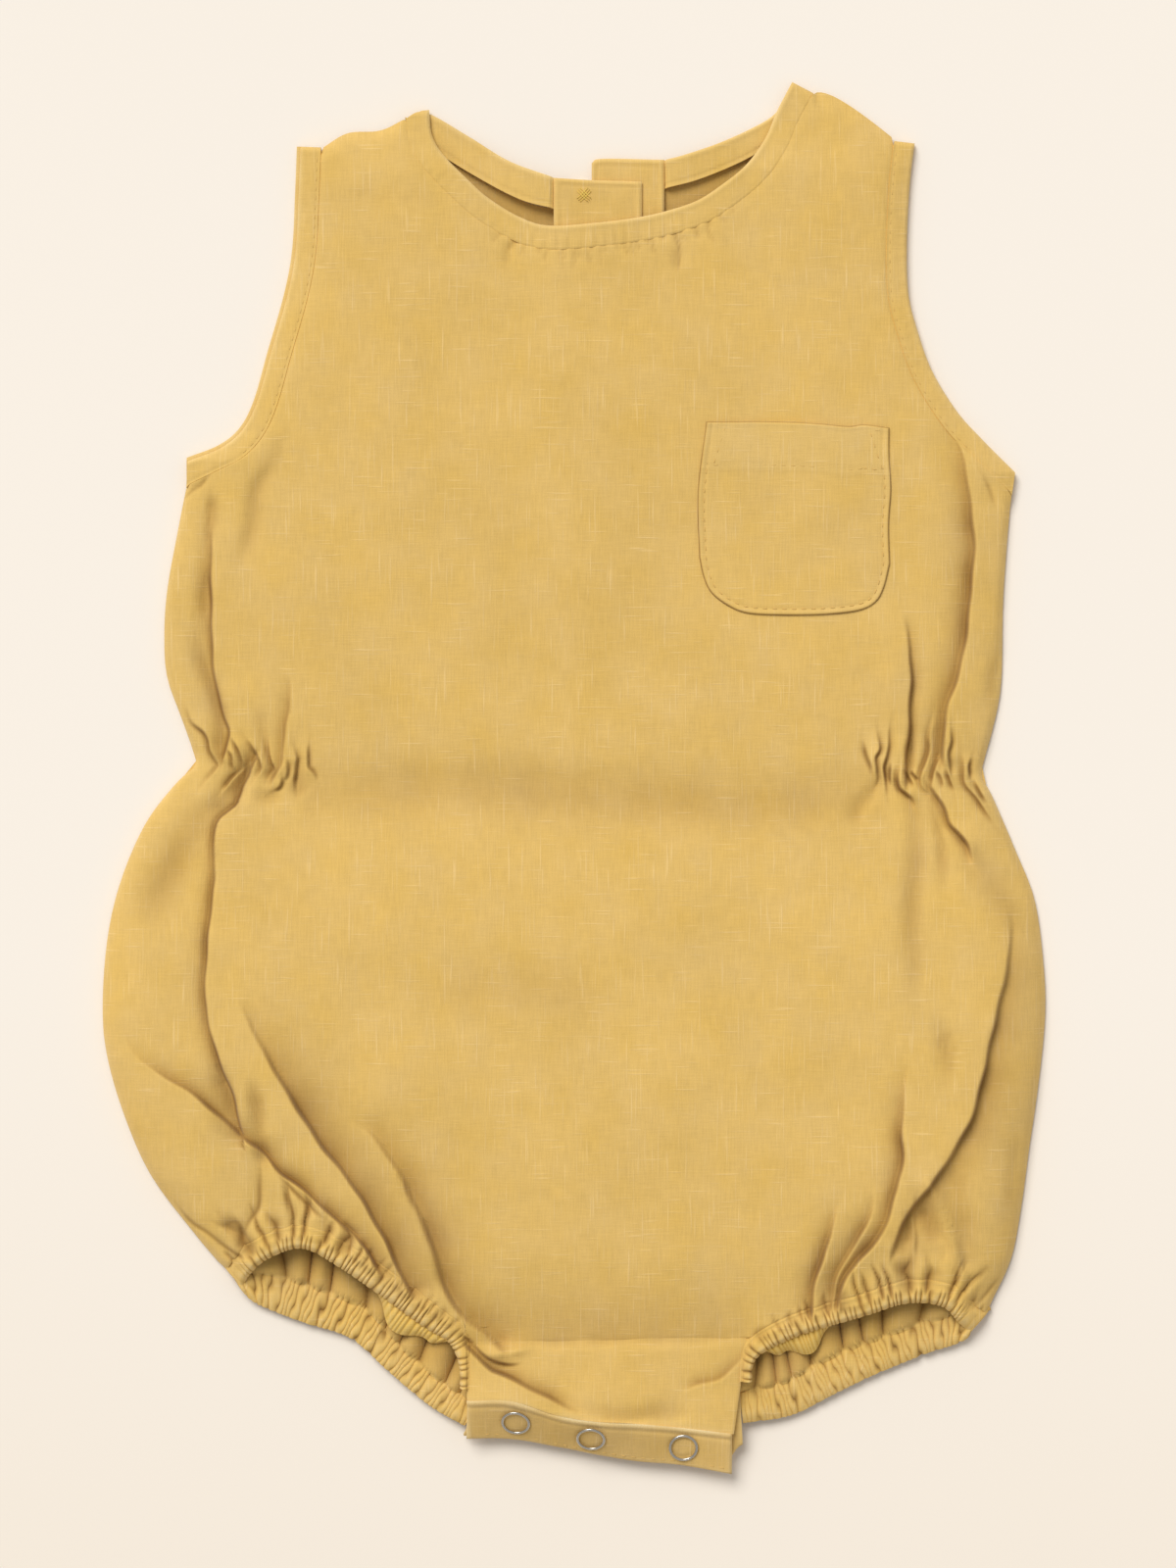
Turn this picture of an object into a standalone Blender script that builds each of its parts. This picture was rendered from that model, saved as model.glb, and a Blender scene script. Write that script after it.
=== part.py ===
"""A baby's sleeveless bubble romper, laid flat on its back with the front up.

The tables are in millimetres and the meshes in metres. +Y points to the neck, +Z up from the table,
and the origin is on the table under the middle of the garment's box. Every cloth piece is a sheet
whose points are worked out from the seam lines below, then given a wall. The upper layer's height is
one function, upper_level, so that the pieces sewn to it and lying on it share its form.
"""

import math
from collections import namedtuple

import bmesh
import bpy
import numpy as np
from mathutils import Vector

MM = 0.001

WALL = 1.2  # one layer of washed linen with its seam allowances
SEAM_GAP = 0.6  # between the middles' edges of two pieces that are sewn together
RIDGE_GAP = 1.1  # between the crotch tab and its band, whose walls meet at a corner
LIE_GAP = 0.3  # between two pieces that lie on each other
LOWER_MIDDLE = WALL / 2  # the lower layer rests on the table
UPPER_EDGE = LOWER_MIDDLE + WALL + LIE_GAP  # the upper layer where it meets the lower one at a side seam

NECK_BAND_WIDTH = 7.4
ARMHOLE_BAND_WIDTH = 6.2
LOWER_ARMHOLE_SHOWS = 1.2  # the lower armhole band shows this far outside the upper one

LEG_WALL = 1.8  # a casing folded over its elastic
LEG_WAVES = 40  # along one half of a leg opening
LEG_WAVE_HEIGHT = 0.45
LEG_LOWER_MIDDLE = LEG_WALL / 2 + LEG_WAVE_HEIGHT

POCKET_WALL = 1.2

SNAP_RING_RADIUS = 4.2
SNAP_WIRE_RADIUS = 0.5
SNAP_STUD_RADIUS = 4.0
SNAP_STUD_THICK = 0.9
TABS_APART = WALL + SNAP_STUD_THICK + 2 * LIE_GAP  # middle of the front tab to middle of the back one

BUTTON_RADIUS = 5.0
BUTTON_THICK = 1.6
BUTTON_SHANK_RADIUS = 0.9
LOOP_RADIUS = 0.6

Point = namedtuple("Point", "x y")
Side = namedtuple("Side", "y x")
Loft = namedtuple("Loft", "y height")
Fold = namedtuple("Fold", "name x0 y0 x1 y1 x2 y2 reach height")
Gather = namedtuple("Gather", "name x_from x_to y count up down height")
Station = namedtuple("Station", "name x y lean width layer")
Crotch = namedtuple("Crotch", "x ridge_y ridge_z hem_y hem_z")

# Side seams, from the underarm down to the outer corner of the leg opening.
SIDE_LEFT = (
    Side(92.4, -122.2), Side(78.7, -124.9), Side(60.0, -128.3), Side(46.0, -129.3), Side(32.2, -128.5),
    Side(20.0, -124.2), Side(9.9, -120.6), Side(4.3, -119.0), Side(-1.0, -125.0), Side(-14.3, -135.2),
    Side(-32.9, -143.2), Side(-51.5, -147.4), Side(-73.2, -148.8), Side(-88.7, -147.2), Side(-107.3, -141.7),
    Side(-125.9, -133.3), Side(-144.5, -119.3), Side(-155.0, -110.4),
)
SIDE_RIGHT = (
    Side(90.0, 138.5), Side(72.5, 137.0), Side(53.9, 135.8), Side(29.1, 135.2), Side(13.6, 132.1),
    Side(1.6, 129.0), Side(-5.6, 132.4), Side(-23.6, 140.1), Side(-39.1, 146.0), Side(-60.8, 148.8),
    Side(-76.3, 149.1), Side(-98.0, 146.9), Side(-116.6, 144.2), Side(-135.2, 141.7), Side(-152.0, 138.4),
    Side(-166.0, 132.0),
)

# Armhole edges, from the shoulder down to the side seam.
ARMHOLE_LEFT = (
    Point(-86.2, 199.6), Point(-86.8, 184.1), Point(-87.7, 167.1), Point(-90.2, 153.1), Point(-95.5, 134.5),
    Point(-100.1, 118.5), Point(-104.8, 109.7), Point(-111.6, 104.2), Point(-121.8, 100.2),
)
ARMHOLE_RIGHT = (
    Point(107.9, 200.6), Point(106.3, 187.0), Point(105.4, 168.6), Point(105.9, 153.1), Point(108.5, 142.3),
    Point(113.2, 129.0), Point(121.2, 115.9), Point(129.6, 106.6), Point(139.6, 96.6),
)

# Front neckline, from the left shoulder round to the right one.
NECKLINE = (
    Point(-45.5, 211.2), Point(-44.6, 203.0), Point(-41.0, 196.6), Point(-32.5, 187.9), Point(-26.4, 182.6),
    Point(-17.1, 177.0), Point(-7.8, 174.2), Point(8.1, 175.2), Point(21.4, 177.0), Point(30.0, 179.0),
    Point(38.8, 182.0), Point(45.6, 186.2), Point(54.2, 193.1), Point(60.5, 201.8), Point(64.4, 210.8),
    Point(69.2, 220.0),
)
SHOULDER_LEFT = (Point(-78.9, 199.4), Point(-71.3, 203.9), Point(-61.1, 204.6), Point(-54.2, 208.0))
SHOULDER_RIGHT = (
    Point(77.0, 217.0), Point(81.2, 216.0), Point(87.1, 212.7), Point(94.0, 207.8), Point(100.6, 202.6),
)

# Height of the upper layer over a side seam, where it lies away from the sides.
LOFT = (
    Loft(220, 0.3), Loft(205, 1.2), Loft(192, 3.4), Loft(120, 3.4), Loft(60, 3.2), Loft(12, 2.6),
    Loft(0, 2.6), Loft(-20, 5.0), Loft(-50, 8.0), Loft(-90, 9.6), Loft(-130, 9.4), Loft(-152, 8.4),
    Loft(-168, 6.6), Loft(-178, 5.6), Loft(-200, 5.6),
)
SIDE_ROUNDING = 9.0  # how far from a side seam the upper layer takes to rise
RIDGE_ROUNDING = 0.8  # how far the crotch ridge's corner is rounded off
BEND_FADE = 3  # how fast a panel's rows straighten away from its bent bottom and top
FOLD_STEPS = 70  # points along a fold's line
FOLD_BOX = 2.5  # how far from its line a fold is worked out, in reaches

# Largest folds: a row for each, by the start, middle and end of its line. A negative height is a crease.
FOLDS = (
    Fold("left side crease", -114.5, 84, -118.0, 55, -109.5, 14, 2.6, -2.0),
    Fold("left side ridge", -109.0, 86, -111.5, 52, -104.5, 14, 4.5, 1.5),
    Fold("left underarm crease", -95.5, 107, -103.0, 82, -104.5, 62, 4.0, -0.8),
    Fold("right side crease", 121.0, 104, 125.0, 78, 118.0, 16, 2.6, -2.0),
    Fold("right side ridge", 116.0, 100, 119.5, 70, 112.5, 18, 4.5, 1.4),
    Fold("under the pocket", 96.5, 53, 107.0, 36, 104.5, 8, 3.0, -1.4),
    Fold("left long crease", -105.0, -6, -117.0, -56, -99.0, -118, 2.6, -2.6),
    Fold("left long ridge", -99.5, -8, -111.0, -55, -93.0, -116, 5.0, 1.6),
    Fold("left outer crease", -140.5, -84, -110.0, -103, -66.0, -149, 2.8, -2.6),
    Fold("left middle crease", -105.5, -71, -79.0, -107, -54.0, -155, 3.0, -2.4),
    Fold("left middle ridge", -96.0, -74, -70.0, -108, -47.0, -152, 5.0, 1.6),
    Fold("left inner crease", -65.0, -111, -46.0, -130, -36.0, -156, 4.0, -2.2),
    Fold("left leg crease", -103.0, -118, -99.0, -135, -101.0, -142, 2.6, -1.8),
    Fold("right diagonal crease", 112.5, 17, 113.5, -6, 125.5, -27, 2.8, -2.2),
    Fold("right waist crease", 106.0, 10, 103.0, -6, 108.5, -18, 2.8, -1.8),
    Fold("right long crease", 136.0, -62, 131.0, -98, 113.5, -124, 5.5, -2.4),
    Fold("right leg crease one", 83.5, -133, 75.5, -154, 74.5, -166, 3.0, -2.2),
    Fold("right leg crease two", 102.5, -122, 98.5, -143, 85.0, -160, 3.0, -2.6),
    Fold("right leg crease three", 116.5, -121, 104.0, -137, 102.5, -151, 3.0, -2.4),
    Fold("right leg crease four", 112.0, -129, 119.0, -141, 121.5, -151, 3.0, -2.0),
    Fold("crotch valley", -31.0, -177, -16.0, -189, 10.0, -197, 4.0, -1.6),
    Fold("across the seat", -30.0, -66, 10.0, -69, 45.0, -66, 9.0, -0.8),
)

# Rows of gathers held by elastic or a seam.
GATHERS = (
    Gather("left waist", -119.0, -82.0, 4.5, 9, 19.0, 19.0, 1.1),
    Gather("right waist", 90.0, 129.0, 1.5, 12, 19.0, 19.0, 1.0),
    Gather("neck", -14.0, 38.0, 166.5, 12, 3.0, 11.0, 0.3),
)

# The leg casings, each a strip from the front tab round the outer corner to the back tab. A row gives
# the opening's edge, the strip's direction from it (degrees), its width, and the layer it lies in.
LEG_LEFT = (
    Station("front tab", -35.6, -192.0, 0, 2.4, 1.0),
    Station("front inner", -36.0, -184.5, 12, 3.0, 1.0),
    Station("front inner turn", -39.3, -177.6, 38, 6.0, 1.0),
    Station("front low", -47.0, -172.8, 54, 7.4, 1.0),
    Station("front middle", -61.7, -162.0, 53, 7.6, 1.0),
    Station("front high", -73.5, -153.8, 58, 7.0, 1.0),
    Station("front top", -85.0, -147.9, 82, 6.5, 1.0),
    Station("front outer", -95.5, -151.0, 116, 6.4, 1.0),
    Station("front corner", -101.5, -156.0, 132, 6.6, 0.85),
    Station("corner", -103.9, -160.6, 136, 7.4, 0.35),
    Station("back corner", -101.4, -164.6, 112, 9.0, 0.0),
    Station("back outer", -95.0, -167.9, 78, 10.5, 0.0),
    Station("back top", -84.0, -172.0, 67, 11.0, 0.0),
    Station("back high", -70.1, -176.7, 58, 9.4, 0.0),
    Station("back middle", -58.0, -187.2, 50, 7.6, 0.0),
    Station("back low", -45.3, -197.8, 52, 7.6, 0.0),
    Station("back tab", -34.0, -204.2, 62, 7.6, 0.2),
)
LEG_RIGHT = (
    Station("front tab", 56.2, -190.0, 178, 3.0, 1.0),
    Station("front inner", 56.8, -184.2, 160, 3.6, 1.0),
    Station("front inner turn", 60.5, -180.6, 128, 5.6, 1.0),
    Station("front low", 70.4, -175.8, 113, 6.2, 1.0),
    Station("front middle", 80.9, -172.4, 107, 6.2, 1.0),
    Station("front high", 92.0, -169.2, 105, 6.2, 1.0),
    Station("front top", 105.0, -165.3, 96, 6.4, 1.0),
    Station("front outer", 115.8, -166.3, 68, 6.6, 1.0),
    Station("front corner", 121.0, -171.2, 50, 7.0, 0.85),
    Station("corner", 124.6, -175.4, 46, 8.4, 0.35),
    Station("back corner", 121.0, -178.3, 78, 8.6, 0.0),
    Station("back outer", 112.6, -181.0, 104, 9.0, 0.0),
    Station("back high", 102.3, -185.1, 111, 9.4, 0.0),
    Station("back middle", 91.8, -189.6, 114, 10.2, 0.0),
    Station("back low", 80.9, -195.0, 116, 10.4, 0.0),
    Station("back inner", 68.5, -201.0, 108, 10.0, 0.0),
    Station("back tab", 53.5, -203.2, 96, 9.4, 0.25),
)

# The crotch: the tab rises to a ridge and falls to the hem of its snap band.
CROTCH = (
    Crotch(-33.5, -195.6, 11.0, -208.4, 4.6), Crotch(-19.5, -195.4, 13.4, -208.6, 4.2),
    Crotch(-6.0, -199.6, 13.6, -210.8, 4.2), Crotch(6.0, -201.8, 13.2, -213.2, 4.2),
    Crotch(20.0, -202.8, 11.4, -215.6, 4.4), Crotch(34.0, -204.2, 9.6, -216.8, 4.8),
    Crotch(50.0, -206.2, 8.8, -219.6, 5.0),
)
CROTCH_SEAM = (
    Point(-31.4, -181.0), Point(-26.0, -178.6), Point(-15.5, -177.4), Point(9.0, -177.0),
    Point(27.9, -176.2), Point(52.6, -176.2),
)
TAB_LEFT = (Point(-31.6, -182.2), Point(-31.8, -189.0), Point(-33.2, -195.6))
TAB_RIGHT = (Point(52.8, -177.6), Point(52.8, -190.0), Point(51.6, -199.0), Point(50.6, -206.4))
SNAPS = (Point(-18.0, -202.2), Point(5.6, -207.3), Point(34.7, -210.4))

POCKET_TOP = (Point(41.9, 112.2), Point(62.0, 112.4), Point(80.0, 111.2), Point(99.8, 109.8))
POCKET_BOTTOM = (
    Point(39.4, 69.1), Point(41.5, 61.6), Point(45.8, 56.4), Point(52.4, 52.3), Point(60.0, 51.1),
    Point(73.8, 50.8), Point(86.5, 51.8), Point(93.8, 54.2), Point(98.2, 59.5), Point(99.8, 67.5),
)

# Back neck: the two bands and the two overlapping tabs of the centre opening.
BACK_BAND_LEFT = (
    Point(-47.8, 210.6), Point(-43.4, 209.0), Point(-32.5, 202.4), Point(-20.1, 194.7), Point(-6.8, 189.6),
)
BACK_BAND_LEFT_SEAM = (
    Point(-53.2, 204.6), Point(-47.0, 200.6), Point(-32.5, 191.3), Point(-17.1, 183.0), Point(-6.8, 180.1),
)
BACK_BAND_RIGHT = (
    Point(29.4, 195.4), Point(35.6, 197.0), Point(47.7, 201.3), Point(60.5, 207.6), Point(66.0, 212.6),
    Point(69.6, 219.0),
)
BACK_BAND_RIGHT_SEAM = (
    Point(29.4, 186.6), Point(39.7, 189.4), Point(54.2, 195.6), Point(65.0, 202.6), Point(72.0, 209.0),
    Point(76.2, 216.0),
)
BACK_SHOULDER_LEFT = (Point(-79.2, 198.6), Point(-71.3, 203.0), Point(-61.1, 203.8), Point(-54.4, 204.9))
BACK_SHOULDER_RIGHT = (
    Point(77.4, 215.8), Point(81.2, 215.0), Point(87.1, 211.7), Point(94.0, 206.8), Point(100.2, 201.8),
)
TAB_INNER_TOP = (Point(-6.2, 189.4), Point(5.3, 188.7), Point(21.7, 188.2))
TAB_OUTER_TOP = (Point(5.8, 194.2), Point(9.0, 195.6), Point(28.8, 195.3))
TABS_BOTTOM = 142.0
TABS_FLAT_FROM = 172.0  # below here the tabs lie on the back panel
TAB_OUTER_MIDDLE = BUTTON_THICK + LIE_GAP + WALL / 2
BUTTON_AT = Point(3.4, 183.9)
SLIT_X = 13.5
SLIT_WIDTH = 1.0
SLIT_BOTTOM = 146.0
BACK_NECK_DIP = 176.8  # the back panel's top edge at the slit, just under the button

# Back crotch: the panel stops at its seam and the tab goes on under the front one.
BACK_CROTCH_SEAM = (
    Point(-34.5, -185.5), Point(-30.0, -180.4), Point(-15.0, -179.2), Point(27.0, -178.6), Point(52.0, -179.6),
    Point(57.0, -184.5),
)
BACK_TAB_SHOWS = 3.4  # past the front tab's right edge
CROTCH_FROM = -38.0  # between these two the upper layer follows the crotch table
CROTCH_TO = 60.0
CROTCH_BLEND = 6.0


# ---------------------------------------------------------------- curves

def smooth(points, count):
    """Points at even distances along the smooth curve through the given ones."""
    knots = np.array(points, float)
    ends = (2 * knots[0] - knots[1], 2 * knots[-1] - knots[-2])
    padded = np.vstack([ends[0], knots, ends[1]])
    fine = []
    for a, b, c, d in zip(padded, padded[1:], padded[2:], padded[3:]):
        for t in np.linspace(0, 1, 12, endpoint=False):
            fine.append(0.5 * (2 * b + (c - a) * t + (2 * a - 5 * b + 4 * c - d) * t**2
                               + (3 * b - a - 3 * c + d) * t**3))
    fine.append(knots[-1])
    return even(np.array(fine), count)


def even(line, count):
    """The line's own points, spaced again at even distances along it."""
    steps = np.linalg.norm(np.diff(line[:, :2], axis=0), axis=1)
    far = np.concatenate([[0], np.cumsum(steps)])
    at = np.linspace(0, far[-1], count)
    return np.column_stack([np.interp(at, far, line[:, k]) for k in range(line.shape[1])])


def moved_across(line, distance):
    """The line moved sideways, to its left where the distance is positive."""
    ahead = np.gradient(line, axis=0)
    ahead /= np.linalg.norm(ahead, axis=1)[:, None]
    return line + distance * np.column_stack([-ahead[:, 1], ahead[:, 0]])


def points_of(sides):
    return [(side.x, side.y) for side in sides]


def at_share(line, share):
    """The point at a share of the way along evenly spaced points."""
    place = share * (len(line) - 1)
    low = min(int(place), len(line) - 2)
    return line[low] + (place - low) * (line[low + 1] - line[low])


def patch(bottom, top, left, right):
    """A function from shares across and up to the plan point of a piece with these four edges.

    Its rows run straight from side to side, and take on the bends of the bottom and top near them.
    """
    def place(across, up):
        row = (1 - across) * at_share(left, up) + across * at_share(right, up)
        low_bend = at_share(bottom, across) - ((1 - across) * bottom[0] + across * bottom[-1])
        high_bend = at_share(top, across) - ((1 - across) * top[0] + across * top[-1])
        return row + (1 - up) ** BEND_FADE * low_bend + up**BEND_FADE * high_bend
    return place


def strip(lower, upper):
    """A function like patch, for a piece between two long edges."""
    def place(across, up):
        return (1 - up) * at_share(lower, across) + up * at_share(upper, across)
    return place


# ---------------------------------------------------------------- the upper layer's height

def fold_lines():
    """Each fold with its line, as points on the curve through its three places, and the line's box."""
    lines = []
    for fold in FOLDS:
        line = smooth([(fold.x0, fold.y0), (fold.x1, fold.y1), (fold.x2, fold.y2)], FOLD_STEPS)
        reach = FOLD_BOX * fold.reach
        box = (*(line.min(axis=0) - reach), *(line.max(axis=0) + reach))
        lines.append((fold, line, [float(side) for side in box]))
    return lines


FOLD_LINES = fold_lines()


def folds_level(x, y):
    """How far the folds raise or sink the cloth here. A fold fades towards both of its ends."""
    level = 0.0
    for fold, line, (x_low, y_low, x_high, y_high) in FOLD_LINES:
        if x_low < x < x_high and y_low < y < y_high:
            away = np.hypot(line[:, 0] - x, line[:, 1] - y)
            near = int(away.argmin())
            fade = math.sin(math.pi * (0.1 + 0.8 * near / (len(line) - 1)))
            level += fold.height * fade * math.exp(-(away[near] / fold.reach) ** 2)
    return level


def gathers_level(x, y):
    """The waves that elastic or a gathered seam makes, highest at its line and fading from it."""
    level = 0.0
    for row in GATHERS:
        reach = row.up if y > row.y else row.down
        away = abs(y - row.y) / reach
        share = (x - row.x_from) / (row.x_to - row.x_from)
        if away >= 1 or not 0 < share < 1:
            continue
        sway = 0.35 * math.sin(y / 6.0 + 5 * share)
        wave = math.cos(2 * math.pi * (share * row.count + sway) + 0.6 * math.sin(9 * share))
        level += row.height * wave * (1 - away) ** 1.5 * min(1, 6 * share * (1 - share) + 0.25)
    return level


def side_line(side_rows, armhole_rows):
    """The garment's side as rows of height up the garment and place across it."""
    rows = [(side.y, side.x) for side in side_rows] + [(point.y, point.x) for point in armhole_rows]
    return np.array(sorted(rows))


SIDE_LINES = (side_line(SIDE_LEFT, ARMHOLE_LEFT), side_line(SIDE_RIGHT, ARMHOLE_RIGHT))
LOFT_ROWS = np.array(sorted(LOFT))
CROTCH_ROWS = smooth(CROTCH, 80)


def body_level(x, y):
    """The upper layer's middle over the table, without its folds."""
    left, right = (float(np.interp(y, line[:, 0], line[:, 1])) for line in SIDE_LINES)
    inside = max(0.0, min(x - left, right - x))
    loft = float(np.interp(y, LOFT_ROWS[:, 0], LOFT_ROWS[:, 1]))
    return UPPER_EDGE + loft * (1 - math.exp(-inside / SIDE_ROUNDING))


def crotch_level(x, y):
    """The front tab and its snap band, from the crotch seam over the ridge to the hem."""
    ridge_y, ridge_z, hem_y, hem_z = (
        float(np.interp(x, CROTCH_ROWS[:, 0], CROTCH_ROWS[:, k])) for k in range(1, 5))
    seam_y = CROTCH_SEAM[2].y
    climb = max(0.0, (seam_y - y) / (seam_y - ridge_y))
    seam_z = body_level(x, seam_y)
    tab = seam_z + (ridge_z - seam_z) * climb**1.5
    band = ridge_z + (hem_z - ridge_z) * (ridge_y - y) / (ridge_y - hem_y)
    return -RIDGE_ROUNDING * math.log(math.exp(-tab / RIDGE_ROUNDING) + math.exp(-band / RIDGE_ROUNDING))


def upper_level(x, y):
    """The middle of the upper layer over the table."""
    over_tab = min(1.0, max(0.0, min(x - CROTCH_FROM, CROTCH_TO - x) / CROTCH_BLEND))
    level = body_level(x, y)
    if y < CROTCH_SEAM[2].y:
        level += over_tab * (crotch_level(x, y) - level)
    return max(UPPER_EDGE, level + folds_level(x, y) + gathers_level(x, y))


def upper_normal(x, y):
    step = 0.6
    slope_x = (upper_level(x + step, y) - upper_level(x - step, y)) / (2 * step)
    slope_y = (upper_level(x, y + step) - upper_level(x, y - step)) / (2 * step)
    return Vector((-slope_x, -slope_y, 1)).normalized()


def on_upper(place, out=0.0):
    """Lays a plan function on the upper layer, moved out along its normal."""
    def spot(across, up):
        x, y = place(across, up)
        return Vector((x, y, upper_level(x, y))) + out * upper_normal(x, y)
    return spot


def at_level(place, level):
    """Lays a plan function at a height that is a number or a function of the shares."""
    def spot(across, up):
        x, y = place(across, up)
        return Vector((x, y, level(across, up) if callable(level) else level))
    return spot


# ---------------------------------------------------------------- making pieces

def clear_scene():
    for obj in list(bpy.data.objects):
        bpy.data.objects.remove(obj, do_unlink=True)


def collection_named(name):
    made = bpy.data.collections.new(name)
    bpy.context.scene.collection.children.link(made)
    return made


def material_named(name, colour, roughness, metallic=0.0):
    material = bpy.data.materials.new(name)
    material.use_nodes = True
    shader = material.node_tree.nodes["Principled BSDF"]
    shader.inputs["Base Color"].default_value = (*colour, 1)
    shader.inputs["Roughness"].default_value = roughness
    shader.inputs["Metallic"].default_value = metallic
    return material


def add_piece(name, mesh, material, home):
    obj = bpy.data.objects.new(name, mesh)
    mesh.materials.append(material)
    home.objects.link(obj)
    return obj


def cloth(name, spot, columns, rows, material, home, wall=WALL, keep=1.0):
    """A sheet of columns by rows whose points the spot function places, given its wall.

    Where keep is under 1, that share of the facets is left, most where the cloth bends.
    """
    shape = bmesh.new()
    bmesh.ops.create_grid(shape, x_segments=columns, y_segments=rows, size=0.5)
    for vertex in shape.verts:
        across, up = (min(1.0, max(0.0, along + 0.5)) for along in vertex.co.xy)
        vertex.co = spot(across, up) * MM
    mesh = bpy.data.meshes.new(name)
    shape.to_mesh(mesh)
    shape.free()
    mesh.shade_smooth()
    obj = add_piece(name, mesh, material, home)
    if keep < 1:
        thin = obj.modifiers.new("facets where the cloth bends", "DECIMATE")
        thin.ratio = keep
    thick = obj.modifiers.new("wall", "SOLIDIFY")
    thick.thickness = wall * MM
    thick.offset = 0
    thick.use_quality_normals = True
    return obj


# ---------------------------------------------------------------- leg casings

def leg_sections(stations, count):
    """Evenly spaced rows of the casing's edge, direction, width and layer."""
    rows = [(row.x, row.y, row.lean, row.width, row.layer) for row in stations]
    return smooth(rows, count)


def leg_middle(x, y, layer):
    """The casing's height: on the upper layer, on the table, or on its way round the corner."""
    return LEG_LOWER_MIDDLE + layer * (upper_level(x, y) - LEG_LOWER_MIDDLE)


def leg_seam(stations, first, last, count=60, gap=SEAM_GAP):
    """The plan line where a panel meets the casing, between two of its named stations."""
    names = [row.name for row in stations]
    part = stations[names.index(first):names.index(last) + 1]
    rows = leg_sections(part, count)
    lean = np.radians(rows[:, 2])
    reach = rows[:, 3] + gap
    return rows[:, :2] + reach[:, None] * np.column_stack([np.cos(lean), np.sin(lean)])


def leg_casing(name, stations, material, home):
    """A gathered strip round a leg opening: flat on the table behind, on the upper layer in front."""
    sections = leg_sections(stations, 4 * LEG_WAVES + 1)
    layer = np.clip(sections[:, 4], 0, 1)
    edge = np.array([(x, y, leg_middle(x, y, high)) for (x, y), high in zip(sections[:, :2], layer)])
    ahead = np.gradient(edge, axis=0)

    def spot(across, up):
        station = round(across * 4 * LEG_WAVES)
        x, y, z = edge[station]
        lean, width = math.radians(sections[station, 2]), sections[station, 3]
        far_x = x + up * width * math.cos(lean)
        far_y = y + up * width * math.sin(lean)
        far_z = leg_middle(far_x, far_y, layer[station]) if layer[station] in (0, 1) else z
        out = Vector(ahead[station]).cross(Vector((math.cos(lean), math.sin(lean), 0))).normalized()
        if layer[station] == 1 and out.z < 0 or layer[station] == 0 and out.z > 0:
            out = -out
        turning = 1 - 4 * layer[station] * (1 - layer[station])
        wave = LEG_WAVE_HEIGHT * (1 if station % 2 else -1) * turning
        return Vector((far_x, far_y, far_z)) + float(wave) * out
    return cloth(name, spot, 4 * LEG_WAVES, 1, material, home, wall=LEG_WALL)


# ---------------------------------------------------------------- panels and bands

def armhole_seam(rows, side, inward, gap=0.0, count=40):
    """The line inside the armhole band, down to the side seam. inward is 1 where the garment is on its left."""
    seam = moved_across(smooth(rows, count), inward * (ARMHOLE_BAND_WIDTH + gap))
    end = (side[0].x, side[0].y + SEAM_GAP - gap)
    return even(np.vstack([seam[:-count // 9], [end]]), count)


def front_panel(material, home):
    neck_seam = moved_across(smooth(NECKLINE, 60), -(NECK_BAND_WIDTH + SEAM_GAP))
    top = np.vstack([smooth(SHOULDER_LEFT, 12), neck_seam[3:-3], smooth(SHOULDER_RIGHT, 12)])
    bottom = np.vstack([
        leg_seam(LEG_LEFT, "front tab", "corner")[::-1][:-9],
        smooth([(x, y + SEAM_GAP / 2) for x, y in CROTCH_SEAM], 30)[2:-2],
        leg_seam(LEG_RIGHT, "front tab", "corner")[9:],
    ])
    sides = []
    for rows, armhole, inward in ((SIDE_LEFT, ARMHOLE_LEFT, 1), (SIDE_RIGHT, ARMHOLE_RIGHT, -1)):
        side = smooth(points_of(rows), 80)[::-1]
        seam = armhole_seam(armhole, rows, inward, SEAM_GAP)[::-1]
        sides.append(np.vstack([even(side, 101)[:-1], even(seam, 60)]))
    left, right = sides
    left[0], right[0] = bottom[0], bottom[-1]
    left[-1], right[-1] = top[0], top[-1]
    place = patch(even(bottom, 160), even(top, 160), left, right)
    return cloth("front_panel", on_upper(place), 130, 120, material, home, keep=0.1)


def outline_plate(name, outline, material, home):
    """A flat wall of this outline, resting on the table."""
    curve = bpy.data.curves.new(name, "CURVE")
    curve.dimensions = "2D"
    curve.fill_mode = "BOTH"
    curve.extrude = WALL / 2 * MM
    spline = curve.splines.new("POLY")
    spline.points.add(len(outline) - 1)
    for point, (x, y) in zip(spline.points, outline):
        point.co = (x * MM, y * MM, 0, 1)
    spline.use_cyclic_u = True
    obj = add_piece(name, curve, material, home)
    obj.location.z = LOWER_MIDDLE * MM
    return obj


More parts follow.
